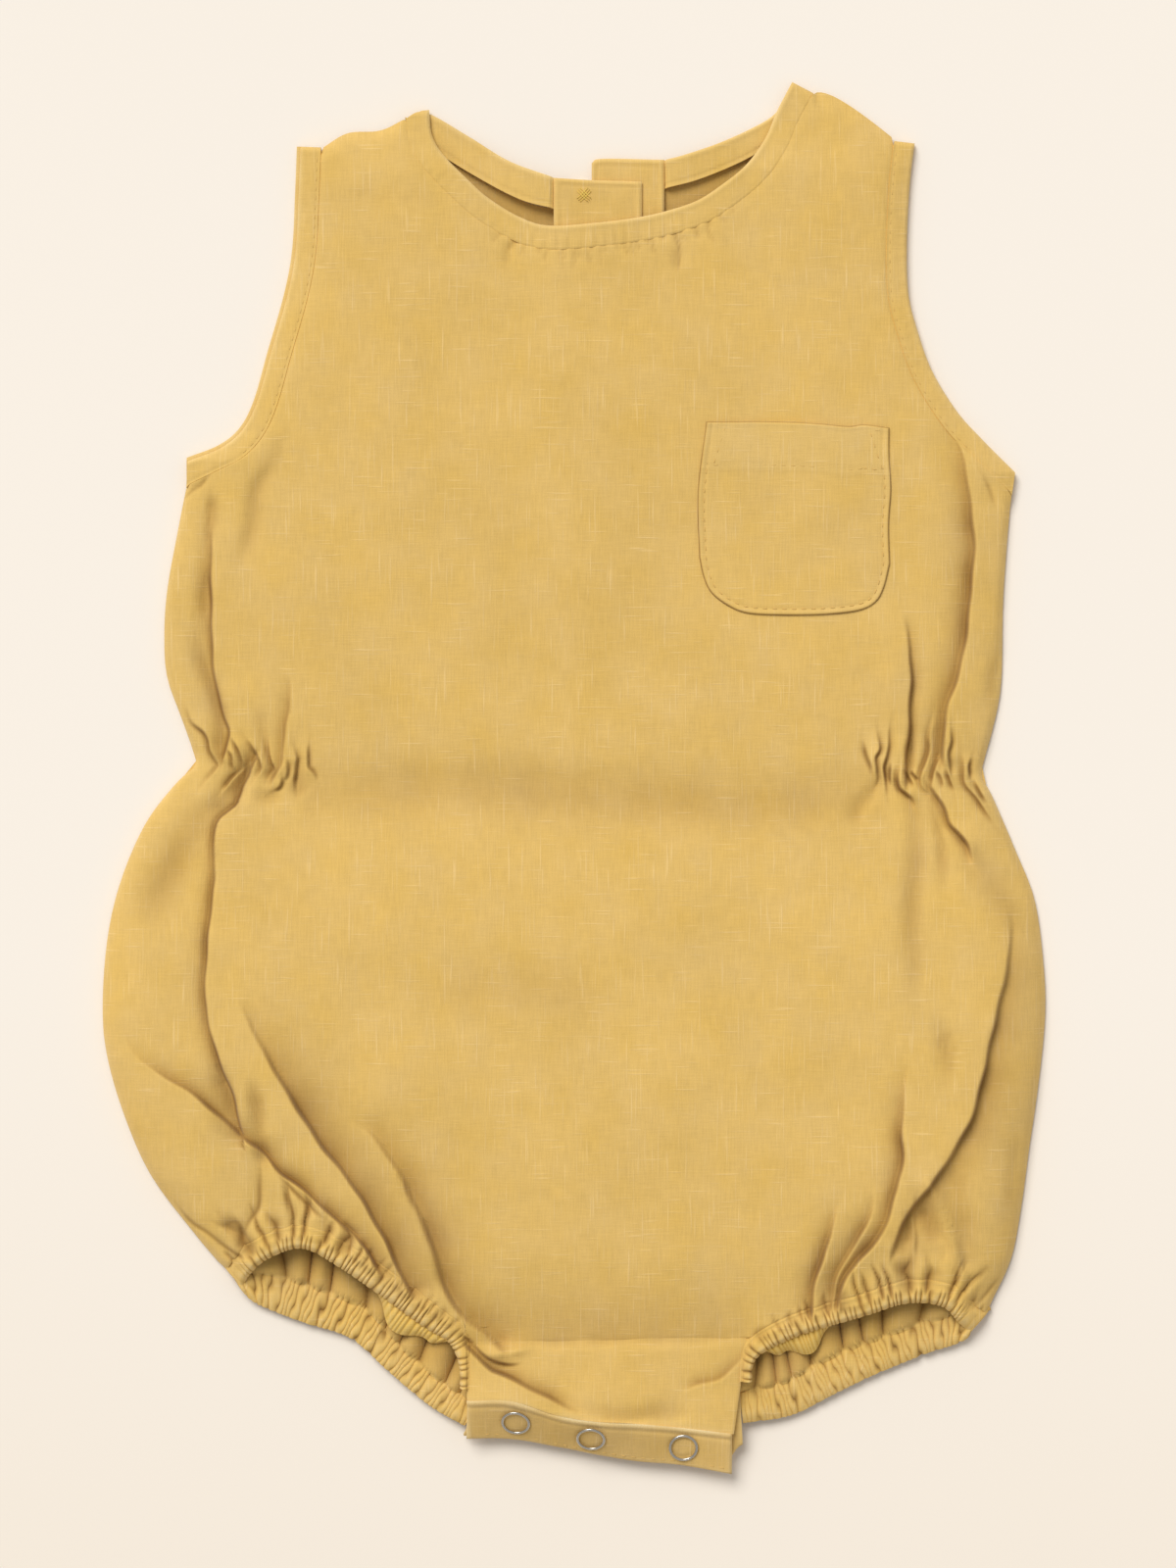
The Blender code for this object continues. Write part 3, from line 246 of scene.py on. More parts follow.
MAIN_FOLDS = tuple(Fold(*row) for row in (
    ("left seat fold", STEP, EAST, ((-101.5, 3), (-102.5, 0.5), (-104, -2), (-105, -5.5), (-106, -8.5),
     (-108.5, -10.5), (-111.5, -12.5), (-113, -15.5), (-113.5, -21), (-113.5, -28), (-113, -33),
     (-114, -43.5), (-115.5, -56), (-116, -65), (-115.5, -71.5), (-113, -82.5), (-109.5, -93.5),
     (-106.5, -101.5), (-104, -112)), 2.6, 14, 3.4, 0.3, 1, 1),
    ("left wedge", SOFT, EAST, ((-112, -89.5), (-109, -98), (-107, -105), (-105, -110.5)), 5, 2.5, 2.4, 1,
     0.1, 1),
    ("left outer fold", STEP, SOUTH, ((-140, -83), (-137, -87), (-132, -91), (-125, -95.5), (-118.5, -100),
     (-112.5, -105), (-106, -110.5), (-101.5, -114), (-96, -119), (-91, -125), (-83.5, -130), (-77, -136),
     (-71.5, -140.5), (-67.5, -145), (-63.5, -150.5), (-61, -155.5)), 5, 9, 2.9, 0.35, 0.1, 1),
    ("left outer second", CREASE, SOUTH, ((-92, -125), (-87, -130), (-83, -134), (-78, -138)), 1.1, 1.1,
     1.8, 0.3, 0.3, 0.2),
    ("left outer third", CREASE, SOUTH, ((-74.5, -139), (-71, -142.5), (-70, -146), (-70.5, -149.5),
     (-68.5, -152.5)), 1.2, 1.2, 1.8, 0.3, 0.3, 1),
    ("left tube fold", STEP, WEST, ((-105.5, -70), (-101.5, -77), (-98.5, -82.5), (-94.5, -89.5),
     (-90, -98), (-85, -106.5), (-79, -115), (-72, -123.5), (-67.5, -130.5), (-63.5, -137.5), (-59, -145),
     (-55.5, -152), (-52, -160)), 11, 9, 3.4, 0.5, 0, 1),
    ("left small trough", SOFT, EAST, ((-101, -94), (-99, -103.5), (-98.5, -112), (-97.5, -118)), 2.2, 2.2,
     2.2, 1, 0, 1),
    ("left inner ridge", STEP, WEST, ((-65, -110.5), (-60, -116), (-54, -124.5), (-50, -133.5),
     (-45.5, -144.5), (-42, -155.5), (-38, -164.5), (-32.5, -171), (-25, -177.5)), 9, 9, 4, 0.8, 0.3, 0.8),
    ("left Y trough", CREASE, EAST, ((-98.5, -122), (-98.5, -129), (-99, -135), (-102, -140.5),
     (-104, -145)), 1.7, 1.7, 1.6, 0.5, 0.3, 0.6),
    ("left corner crease", CREASE, EAST, ((-127.5, -132.5), (-120.5, -139.5), (-114, -144),
     (-105.5, -150.5)), 1.6, 1.6, 1.5, 0.5, 0, 1),
    ("left corner second", CREASE, EAST, ((-112.5, -140), (-106.5, -142.5), (-102.5, -145.5),
     (-101.5, -149.5)), 1.4, 1.4, 1.6, 0.5, 0.2, 1),
    ("left side fold", STEP, EAST, ((-114, 86.5), (-114, 72.5), (-114.5, 57), (-114, 43), (-112.5, 29),
     (-110.5, 20), (-109, 15), (-109.5, 11.5), (-110, 8.5)), 3.4, 10, 2.6, 0.35, 0.2, 1),
    ("left armhole fold", SOFT, WEST, ((-93.5, 105), (-96, 98), (-99, 92.5), (-101, 87.5), (-101.5, 81),
     (-103, 75), (-105, 66.5)), 3, 2, 1.5, 1, 0.2, 0.1),
    ("left third fold", STEP, EAST, ((-89.5, 32), (-89.5, 27.5), (-90, 22.5), (-91, 17.5), (-91, 13),
     (-91.5, 8), (-92, 4.5), (-93.5, 1.5)), 3.6, 6, 1.9, 0.7, 0, 1),
    ("right side fold", STEP, EAST, ((120, 108), (123, 100), (124.5, 92), (125.5, 81), (126, 71),
     (125.5, 61.5), (124.5, 49.5), (122, 37), (120, 29), (118, 22.5), (117, 15), (116.5, 9)), 5, 10, 3.6,
     0.4, 0.2, 0.8),
    ("right pocket fold", STEP, WEST, ((104.5, 51), (105.5, 44.5), (106.5, 38), (107, 32), (106.5, 26),
     (106, 18.5), (105.5, 12), (105, 7), (105, 2)), 2.4, 6, 3.2, 0.4, 0, 1),
    ("right pocket ridge", RIDGE, EAST, ((95.5, 52), (99, 44), (101, 32), (101.5, 18.5)), 4.5, 4.5, 1.1, 1,
     0.3, 0.2),
    ("right underarm", CREASE, EAST, ((129.5, 95), (132, 90), (133.5, 84.5)), 1.2, 1.2, 0.8, 0.5, 0.4, 0),
    ("right side edge", SOFT, EAST, ((134, 41.5), (132, 29), (132, 22.5)), 1.6, 1.6, 1.4, 1, 0.1, 0.5),
    ("right diagonal", STEP, EAST, ((114, -4.5), (115.5, -7), (117, -10), (118.5, -14.5), (121, -17.5),
     (123.5, -21), (125, -24.5), (126, -27.5)), 2.4, 7, 3.6, 0.4, 0.8, 0.1),
    ("right waist soft", SOFT, EAST, ((107.5, -10), (108, -17.5), (108, -28), (106.5, -42), (106.5, -51.5),
     (107.5, -61), (107.5, -71.5)), 3, 3, 1.6, 1, 0.8, 0.1),
    ("right waist line", SOFT, EAST, ((114, -10.5), (115, -16), (116, -20.5), (116, -26.5), (116, -33.5)),
     1.8, 1.8, 1.8, 1, 0.5, 0.1),
    ("right waist left", SOFT, EAST, ((95, -3), (92.5, -6.5), (90, -10.5), (89.5, -16)), 2.2, 2.2, 1.7, 1,
     0.8, 0.1),
    ("right leg one", STEP, EAST, ((82.5, -136), (81, -140.5), (80, -145), (78, -151), (76, -158),
     (75, -168.5)), 4, 4, 3, 0.4, 0.2, 1),
    ("right leg between", STEP, EAST, ((94.5, -130.5), (92.5, -138.5), (89.5, -145), (85, -152),
     (82, -158.5), (80.5, -168)), 4, 3.5, 2.4, 0.6, 0.1, 1),
    ("right leg two", STEP, EAST, ((105, -88.5), (104, -98), (103, -110.5), (103, -119.5), (101.5, -127.5),
     (100, -132.5), (98.5, -140), (94, -146.5), (88.5, -152.5), (84.5, -158), (83, -167.5)), 4, 8, 3.2, 0.4,
     0, 1),
    ("right long ridge", STEP, WEST, ((138, -48.5), (137.5, -55), (135.5, -64), (133.5, -72), (132, -80),
     (130, -89.5), (127.5, -98.5), (124.5, -108), (120.5, -115.5), (117, -122), (113, -127), (109.5, -131),
     (106, -135.5), (103, -140), (101.5, -145)), 10, 14, 3.4, 0.5, 0.3, 0.8),
    ("right tube ridge", RIDGE, EAST, ((111.5, -127.5), (114, -132.5), (117, -139.5), (119, -145),
     (121, -150.5), (122, -154.5)), 1.5, 1.5, 2.2, 1, 0.7, 0.8),
    ("right tube valley", SOFT, EAST, ((123.5, -117), (121, -126), (121, -133.5), (122.5, -143),
     (123.5, -150)), 4.5, 4.5, 1.7, 1, 0.1, 0.6),
    ("right hollow", SOFT, EAST, ((108, -132.5), (110.5, -137), (112.5, -142), (114, -147)), 3, 3, 2.6, 1,
     0.2, 0.3),
    ("right small line", STEP, WEST, ((107.5, -133.5), (107.5, -139.5), (108, -145), (107.5, -152)), 1.6,
     2.2, 1.5, 0.8, 0.4, 0.3),
    ("right small hollow", SOFT, EAST, ((105, -138.5), (105, -143), (105.5, -147.5)), 1.8, 1.8, 2.4, 1, 0.4,
     0.3),
    ("right corner", CREASE, EAST, ((125.5, -167.5), (129.5, -163.5), (135, -157.5)), 1.3, 1.3, 1, 0.5, 0.8,
     0.2),
    ("left waist hole", CREASE, EAST, ((-102.5, 4.5), (-104, -1), (-105, -4.5), (-105.5, -8)), 1.7, 1.7, 3,
     0.4, 0.5, 0.3),
    ("left waist hollow", SOFT, EAST, ((-105, -0.5), (-108.5, -3.5), (-112, -8), (-115, -13)), 3.2, 4, 1.6,
     1, 0.3, 0.2),
    ("left tube valley", SOFT, EAST, ((-117, -12), (-122.5, -21), (-127.5, -30.5), (-132, -40.5),
     (-135, -47.5)), 6, 6, 1.8, 1, 0.6, 0.1),
    ("left side hollow", SOFT, EAST, ((-118, 43), (-116, 34), (-113.5, 28.5), (-111.5, 20), (-110.5, 12)),
     2.6, 2.2, 2.2, 1, 0.4, 0.9),
    ("left side patch", SOFT, EAST, ((-116.5, 68), (-116, 58.5), (-115.5, 47.5)), 2.6, 2, 1.6, 1, 0.3, 0.3),
    ("left fourth fold", SOFT, EAST, ((-98.5, 22.5), (-98, 15), (-96.5, 10)), 1.8, 1.8, 1, 1, 0.1, 0.9),
    ("left waist pocket", SOFT, EAST, ((-88, 2), (-86.5, -2.5), (-84.5, -6)), 3, 3, 1.5, 1, 0.9, 0.2),
    ("left waist low", SOFT, NORTH, ((-101.5, -5.5), (-97, -6), (-91.5, -4.5)), 2.4, 2.4, 1.2, 1, 0.2, 0.2),
    ("right pocket hole", SOFT, EAST, ((106, 12.5), (106, 7), (105.5, 2)), 1.4, 1.4, 2.8, 1, 0.3, 0.6),
    ("right shoulder valley", SOFT, EAST, ((126, -26.5), (131, -33), (135.5, -39.5), (139, -47)), 4.5, 4.5,
     1.3, 1, 0.7, 0.7),
    ("right dark patch", SOFT, EAST, ((115, -78.5), (116.5, -83.5), (117.5, -88.5), (117, -94)), 2.3, 2.3,
     2, 1, 0.2, 0.2),
    ("right tube fold", SOFT, EAST, ((141, -109.5), (139, -119), (138, -130.5), (136, -141.5)), 2.5, 2.5,
     0.9, 1, 0.3, 0.2),
    ("left band crease", CREASE, EAST, ((-122.5, 89), (-120, 91), (-117, 92.5), (-114.5, 95.5)), 1, 1, 1,
     0.4, 0.8, 0.2),
    ("left underarm", SOFT, EAST, ((-113.5, 89.5), (-114, 84.5), (-114.5, 77)), 2, 2, 1.6, 1, 0.1, 0.5),
    ("waist hollow", SOFT, EAST, ((-79, -5.5), (-32.5, -3.5), (11, -6.5), (54, -8.5), (93, -5.5)), 9, 9,
     1.3, 1, 0.7, 0.7),
    ("seat hollow", SOFT, EAST, ((-51, -67.5), (-26.5, -65.5), (-8, -67.5), (17, -73)), 8, 8, 0.7, 1, 0.1,
     0.1),
    ("chest crease", SOFT, EAST, ((-75.5, 182), (-65.5, 184), (-53.5, 183), (-39.5, 182.5)), 2, 2, 0.45, 1,
     0.1, 0.1),
    ("neck dart", CREASE, EAST, ((32.5, 171), (33.5, 167), (33, 158.5)), 1.1, 1.1, 0.9, 0.4, 1, 0),
    ("neck soft left", SOFT, EAST, ((-17.5, 170), (-20, 165), (-23, 159.5)), 1.6, 1.6, 0.5, 1, 1, 0),
))
CROTCH_FOLDS = tuple(Fold(*row) for row in (
    ("crotch valley", SOFT, SOUTH, ((-30, -177.2), (9, -176.8), (52, -176)), 12, 2.2, 1.2, 1, 0.9, 0.6),
    ("crotch seam", CREASE, SOUTH, ((-30, -178.7), (-15.5, -177.4), (9, -177), (28, -176.2), (52, -176.2)),
     0.5, 0.5, 0.3, 0.4, 0, 1),
    ("tab fold", STEP, SOUTH, ((-31.5, -180.5), (-26, -185.5), (-23.5, -187), (-14, -191.5), (-1.5, -197.2),
     (4.6, -199.4)), 4.5, 4, 2.8, 0.4, 1, 0),
    ("tab valley", SOFT, SOUTH, ((0, -198), (11, -200.3), (23, -200.9), (39, -199.6)), 4, 2.5, 1.3, 1, 0.5,
     0.1),
    ("tab right fold", STEP, SOUTH, ((51, -184), (46, -188.5), (39, -190), (34, -193)), 4, 3, 1.5, 0.6, 0.6,
     0),
    ("tab corner fold", STEP, NORTH, ((-32.5, -177.5), (-29, -181), (-25, -183.2), (-20, -184.4),
     (-16, -184)), 2.5, 3, 1.8, 0.5, 1, 0),
    ("tab first ridge", RIDGE, SOUTH, ((-31.5, -178.5), (-26, -181), (-20, -180.5), (-12, -179)), 1.6, 1.8,
     1.3, 1, 0.9, 0),
))
WAIST_LAPS: tuple[tuple[Way, float, float, Line], ...] = (  # rise, width, depth and line
    (EAST, 1.3, 2.2, ((-122.5, 21.5), (-120.5, 17.5), (-117, 14.5), (-115.5, 12), (-114.5, 8.5),
     (-112, 4.5), (-113, 2.5), (-115.5, 0), (-117, -2))),
    (EAST, 1.2, 2.3, ((-110, 9), (-108, 7), (-107.5, 4), (-107, 1.5))),
    (EAST, 1.4, 2.7, ((-104.5, 2.5), (-107, 0.5), (-109, -2), (-111, -4.5))),
    (EAST, 1.1, 2.3, ((-108, 12.5), (-106, 9.5), (-105, 7), (-104.5, 4.5), (-105, 2))),
    (EAST, 1.6, 2.6, ((-103, 12), (-101, 8.5), (-99.5, 6), (-98.5, 3.5), (-99, 2), (-100.5, 0))),
    (EAST, 1.5, 2.7, ((-97, 13), (-96, 8), (-95, 5.5), (-94, 3), (-95, 1), (-96, -1))),
    (WEST, 1.1, 2, ((-90, 6), (-89.5, 3.5), (-90, 1), (-91, -1))),
    (WEST, 1.1, 2, ((-91.5, 0.5), (-91.5, -2), (-92.5, -3.5), (-94.5, -4.5))),
    (WEST, 1.6, 2.7, ((-87.5, 9.5), (-86.5, 6.5), (-87, 4), (-87.5, 1.5), (-88, -1), (-87.5, -4.5))),
    (WEST, 1.1, 2, ((-83, 11), (-83, 6), (-83, 3.5), (-81.5, 1.5), (-80.5, -1))),
    (EAST, 1.1, 1.6, ((91.5, 12), (92, 7.5), (93.5, 3.5), (94, 0.5))),
    (WEST, 1.2, 2.3, ((96, 15), (96.5, 9.5), (95, 6.5), (95.5, 3), (96, -0.5), (95, -3.5))),
    (WEST, 1.4, 2.5, ((100, 16.5), (100, 11), (99, 7), (98, 3.5), (98.5, -0.5), (98.5, -6))),
    (EAST, 1, 1.8, ((100, 5), (100, 1), (100.5, -2.5))),
    (EAST, 1.5, 3.1, ((103, 4), (102.5, 0.5), (103, -3), (105, -5), (107, -7), (108, -10))),
    (EAST, 1, 2.1, ((104.5, 3.5), (105.5, 0.5), (107, -3))),
    (EAST, 1, 1.8, ((106.5, 3), (107.5, 1), (109.5, -1))),
    (EAST, 1.5, 2.9, ((113, 18.5), (112, 13.5), (112, 9), (111, 5), (110, 2), (109.5, -1), (110.5, -3.5),
     (113, -5.5))),
    (EAST, 1.2, 2.3, ((116.5, 9), (115.5, 6.5), (114, 3), (113, -0.5), (112.5, -4))),
    (WEST, 1.3, 2.6, ((119, 16), (119.5, 11.5), (118.5, 7.5), (119, 3.5), (119.5, 0.5))),
    (EAST, 1, 1.8, ((114, 2.5), (115.5, -0.5), (116, -3.5))),
    (EAST, 1.1, 1.8, ((117.5, 3), (118.5, -1), (119.5, -4.5))),
    (EAST, 1.6, 2.2, ((122.5, 8), (123, 3), (123, -1), (124, -3.5), (127, -7), (130, -11), (132.5, -14.5))),
    (WEST, 1.2, 2.1, ((125.5, 6.5), (124.5, 3.5), (125, -0.5))),
    (EAST, 1.1, 1.7, ((126, -0.5), (128.5, -4.5), (130.5, -8))),
)


# ---------------- curves


def smooth(points: Sequence[Sequence[float]], count: int) -> Array:
    """Points at even distances along the smooth curve through the given ones.

    Args:
        points: the knots, whose first two values are the plan position.
        count: how many points to return.

    Returns:
        An array with a row for each point.
    """
    knots = np.array(points, float)
    padded = np.vstack([2 * knots[0] - knots[1], knots, 2 * knots[-1] - knots[-2]])
    fine = []
    for a, b, c, d in zip(padded, padded[1:], padded[2:], padded[3:]):
        for t in np.linspace(0, 1, 12, endpoint=False):
            fine.append(0.5 * (2 * b + (c - a) * t + (2 * a - 5 * b + 4 * c - d) * t**2
                               + (3 * b - a - 3 * c + d) * t**3))
    fine.append(knots[-1])
    return even(np.array(fine), count)


def even(line: Array, count: int) -> Array:
    """The line's own points, spaced again at even distances along it."""
    far = np.concatenate([[0], np.cumsum(np.hypot(*np.diff(line[:, :2], axis=0).T))])
    at = np.linspace(0, far[-1], count)
    return np.column_stack([np.interp(at, far, line[:, k]) for k in range(line.shape[1])])


def moved_across(line: Array, distance: float) -> Array:
    """The line moved sideways, to its left where the distance is positive."""
    ahead = np.gradient(line, axis=0)
    ahead /= np.linalg.norm(ahead, axis=1)[:, None]
    return line + distance * np.column_stack([-ahead[:, 1], ahead[:, 0]])


def along(line: Array, share: Array) -> Array:
    """The points at these shares of the way along evenly spaced points."""
    place = np.clip(share, 0, 1) * (len(line) - 1)
    low = np.minimum(place.astype(int), len(line) - 2)
    return line[low] + (place - low)[:, None] * (line[low + 1] - line[low])


def patch(bottom: Array, top: Array, left: Array, right: Array) -> Place:
    """The plan of a panel with these four edges, whose rows straighten away from the bottom and top."""
    def place(across: Array, up: Array) -> Array:
        """The points at these shares."""
        a, u = across[:, None], up[:, None]
        row = (1 - a) * along(left, up) + a * along(right, up)
        low = along(bottom, across) - ((1 - a) * bottom[0] + a * bottom[-1])
        high = along(top, across) - ((1 - a) * top[0] + a * top[-1])
        return row + (1 - u) ** 3 * low + u**3 * high
    return place


def strip(lower: Array, upper: Array) -> Place:
    """The plan of a piece between two long edges."""
    def place(across: Array, up: Array) -> Array:
        """The points at these shares."""
        return (1 - up)[:, None] * along(lower, across) + up[:, None] * along(upper, across)
    return place


def distance_to(line: Array, points: Array) -> tuple[Array, Array]:
    """How far points are from a line, and at which share of it they are nearest.

    Args:
        line: plan points along the line.
        points: plan points to measure from.

    Returns:
        The distances and the shares.
    """
    best = np.full(len(points), 1e9)
    share = np.zeros(len(points))
    for number, (a, b) in enumerate(zip(line, line[1:])):
        step = b - a
        t = np.clip(((points - a) @ step) / max(step @ step, 1e-12), 0, 1)
        far = np.hypot(*(points - a - t[:, None] * step).T)
        nearer = far < best
        best = np.where(nearer, far, best)
        share = np.where(nearer, (number + t) / (len(line) - 1), share)
    return best, share


def swell(away: Array, at: Array | float, width: float) -> Array:
    """A rounded swelling of height 1 at one distance, which fades over its width."""
    return np.exp(-((away - at) / width) ** 2)


def risen(value: Array) -> Array:
    """Rises from 0 to 1 round 0."""
    return 1 / (1 + np.exp(-np.clip(value, -40, 40)))


def spread(share: Array, table: Line) -> Array:
    """Shares spread out anew by a table of old and new ones."""
    return np.interp(share, *np.array(table).T)


def wobble(x: Array, y: Array, size: float, seed: float = 0.0) -> Array:
    """Smooth uneven waves of about this size, between -1 and 1."""
    one = np.sin(x / size * 1.7 + 3.1 * seed + 1.3 * np.sin(y / size * 1.1 + seed))
    other = np.sin(y / size * 1.9 + 1.7 * seed + 1.1 * np.sin(x / size * 1.3 + 2 * seed))
    return 0.5 * (one + other)


def ease(value: Array, low: float, high: float) -> Array:
    """Rises smoothly from 0 at low to 1 at high."""
    t = np.clip((value - low) / (high - low), 0, 1)
    return t * t * (3 - 2 * t)


# ---------------- the upper layer


@dataclass
class FoldField:
    """All the folds of one layer."""

    folds: Sequence[Fold]
    relief: float = 1.1

    def bend(self, plan: Array) -> tuple[Array, Array]:
        """What the folds add to the height at points in plan, and how much shade is painted there."""
        level, painted_shade = np.zeros(len(plan)), np.zeros(len(plan))
        for fold in self.folds:
            reach = 3 * max(fold.low, fold.high) + 2
            track = smooth(fold.line, 60)
            inside = np.all((plan > track.min(axis=0) - reach) & (plan < track.max(axis=0) + reach), axis=1)
            which = np.nonzero(inside)[0]
            LOG.debug("%s bends %d points", fold.name, len(which))
            if len(which):
                side, fade = self.aside(fold, track, plan[which])
                level[which] += fade * self.relief * self.profile(fold, side)
                painted_shade[which] = np.maximum(painted_shade[which], fade * self.crease(fold, side))
        return level, painted_shade

    @staticmethod
    def aside(fold: Fold, track: Array, points: Array) -> tuple[Array, Array]:
        """How far points are to a fold's raised side, and how much of its depth it has beside them."""
        ahead = np.gradient(track, axis=0)
        spacing = float(np.hypot(*ahead[0]))
        ahead /= np.linalg.norm(ahead, axis=1)[:, None]
        apart = points[:, None, :] - track[None, :, :]
        near = (apart**2).sum(axis=2).argmin(axis=1)
        apart = apart[np.arange(len(points)), near]
        ahead = ahead[near]
        normal = np.column_stack([-ahead[:, 1], ahead[:, 0]])
        middle = normal[np.abs(near - len(track) // 2).argmin()]
        normal *= 1.0 if middle @ np.array(fold.rise.value) >= 0 else -1.0
        passed = (apart * ahead).sum(axis=1)
        beyond = np.maximum(0, np.abs(passed) - spacing)
        fade = np.interp(near / (len(track) - 1), (0, 0.3, 0.7, 1), (fold.start, 1, 1, fold.end))
        far, phase = near * spacing + passed, sum(fold.line[0])
        uneven = 0.85 + 0.15 * np.sin(far / 3.9 + phase) * np.sin(far / 9.1 + 2 * phase)
        sway = 0.16 * np.sin(far / 2.3 + phase) + 0.28 * np.sin(far / 6.1 + 3 * phase)
        return (apart * normal).sum(axis=1) + sway, fade * uneven * swell(beyond, 0, 3.5)

    @staticmethod
    def profile(fold: Fold, side: Array) -> Array:
        """The height across a fold, by the distance from its line on its raised side."""
        low, high = np.maximum(0, -side), np.maximum(0, side)
        if fold.kind is STEP:
            top = risen(side / max(0.22, 0.45 * fold.edge))
            sunk = fold.depth * (1 - top) * np.exp(-low / (0.62 * fold.low))
            return 0.45 * fold.depth * top * np.exp(-(high / fold.high) ** 1.4) - sunk
        if fold.kind is CREASE:
            return -fold.depth * np.exp(-((low / fold.low) ** 2 + (high / fold.high) ** 2 + 0.04) ** 0.6)
        height = fold.depth * np.exp(-((low / fold.low) ** 2) - (high / fold.high) ** 2)
        return height if fold.kind is RIDGE else -height

    @staticmethod
    def crease(fold: Fold, side: Array) -> Array:
        """How much shade is painted beside a fold's line, from 0 to 1."""
        if fold.kind is STEP:
            deep, low = min(1.5, fold.depth / 2.6), np.maximum(0, -side)
            sharp = 1 / (1 + (fold.edge / 1.1) ** 2)
            below = risen((0.35 + 0.2 * fold.edge - side) / (0.08 + 0.2 * fold.edge))
            core = min(1.0, fold.depth / 1.5) * sharp * np.exp(-(low / (0.75 + 0.14 * fold.low)) ** 2)
            valley = 0.42 * deep * np.exp(-(low / (0.8 * fold.low)) ** 1.4)
            return below * np.maximum(core, valley)
        if fold.kind is CREASE:
            return 0.75 * min(1.0, fold.depth / 1.7) * np.exp(-(side / (0.35 + 0.25 * fold.low)) ** 2)
        if fold.kind is SOFT:
            reach = np.where(side < 0, fold.low, fold.high)
            return 0.42 * min(1.2, fold.depth / 2.2) * np.exp(-(side / reach) ** 2)
        return np.zeros(len(side))


@dataclass
class UpperLayer:
    """The height of the front, its pocket, bands and crotch tab over the surface they lie on."""

    side_rounding: float = 9.0
    ridge_rounding: float = 0.8
    crotch_from: float = -38.0
    crotch_to: float = 60.0
    crotch_blend: float = 6.0
    field: FoldField = field(default_factory=lambda: FoldField(()))
    gathers: Sequence[Gathers] = ()

    def __post_init__(self) -> None:
        """Works out the tables that the heights are read from."""
        self.sides = [np.array(sorted((y, x) for x, y in (*side, *armhole)))
                      for side, armhole in ((SIDE_LEFT, ARMHOLE_LEFT), (SIDE_RIGHT, ARMHOLE_RIGHT))]
        self.loft = np.array(sorted(LOFT))
        self.crotch = smooth(CROTCH, 80)

    def body(self, x: Array, y: Array) -> Array:
        """The middle of the layer without its folds."""
        left, right = (np.interp(y, side[:, 0], side[:, 1]) for side in self.sides)
        inside = np.maximum(0, np.minimum(x - left, right - x))
        loft = np.interp(y, self.loft[:, 0], self.loft[:, 1])
        return UPPER_EDGE + loft * (1 - np.exp(-inside / self.side_rounding))

    def tent(self, x: Array, y: Array) -> Array:
        """The middle of the crotch tab and its snap band, over the ridge between them."""
        across = self.crotch[:, 0]
        ridge_y, ridge_z, hem_y, hem_z = (np.interp(x, across, self.crotch[:, k]) for k in range(1, 5))
        seam_y = CROTCH_SEAM[2][1]
        climb = np.maximum(0, (seam_y - y) / (seam_y - ridge_y))
        seam_z = self.body(x, np.full_like(x, seam_y))
        tab = seam_z + (ridge_z - seam_z) * climb**1.5
        band = ridge_z + (hem_z - ridge_z) * (ridge_y - y) / (ridge_y - hem_y)
        r = self.ridge_rounding
        return -r * np.log(np.exp(-tab / r) + np.exp(-band / r))

    def level(self, x: Array, y: Array) -> Array:
        """The middle of the layer, with the crotch but without the folds."""
        level = self.body(x, y)
        over = np.clip(np.minimum(x - self.crotch_from, self.crotch_to - x) / self.crotch_blend, 0, 1)
        over = over * (y < CROTCH_SEAM[2][1])
        return np.maximum(UPPER_EDGE, level + over * (self.tent(x, y) - level))

    def drape(self, x: Array, y: Array) -> Array:
        """What the soft unevenness of cloth that lies by itself adds."""
        calm = ease(self.body(x, y), 2.6, 5.0)
        waves = ((0.35, 38, 1.0), (0.18, 17, 4.0), (0.06, 7, 9.0))  # height, size and seed
        return calm * sum(high * wobble(x, y, size, seed) for high, size, seed in waves)

    def draped(self, plan: Array) -> Array:
        """The middle of the layer at plan points, with its unevenness."""
        return self.level(*plan.T) + self.drape(*plan.T)

    def face(self, plan: Array, out: float = WALL_HALF) -> Array:
        """Points on the layer over a plan without its folds, moved out along its normal.

        Args:
            plan: the points in plan.
            out: how far from the middle of the layer they are.

        Returns:
            The points in space.
        """
        step = np.array([0.5, 0.0]), np.array([0.0, 0.5])
        slope = [self.draped(plan + move) - self.draped(plan - move) for move in step]
        normal = np.column_stack([-slope[0], -slope[1], np.ones(len(plan))])
        normal /= np.linalg.norm(normal, axis=1)[:, None]
        return np.column_stack([plan, self.draped(plan)]) + out * normal


# ---------------- finishes


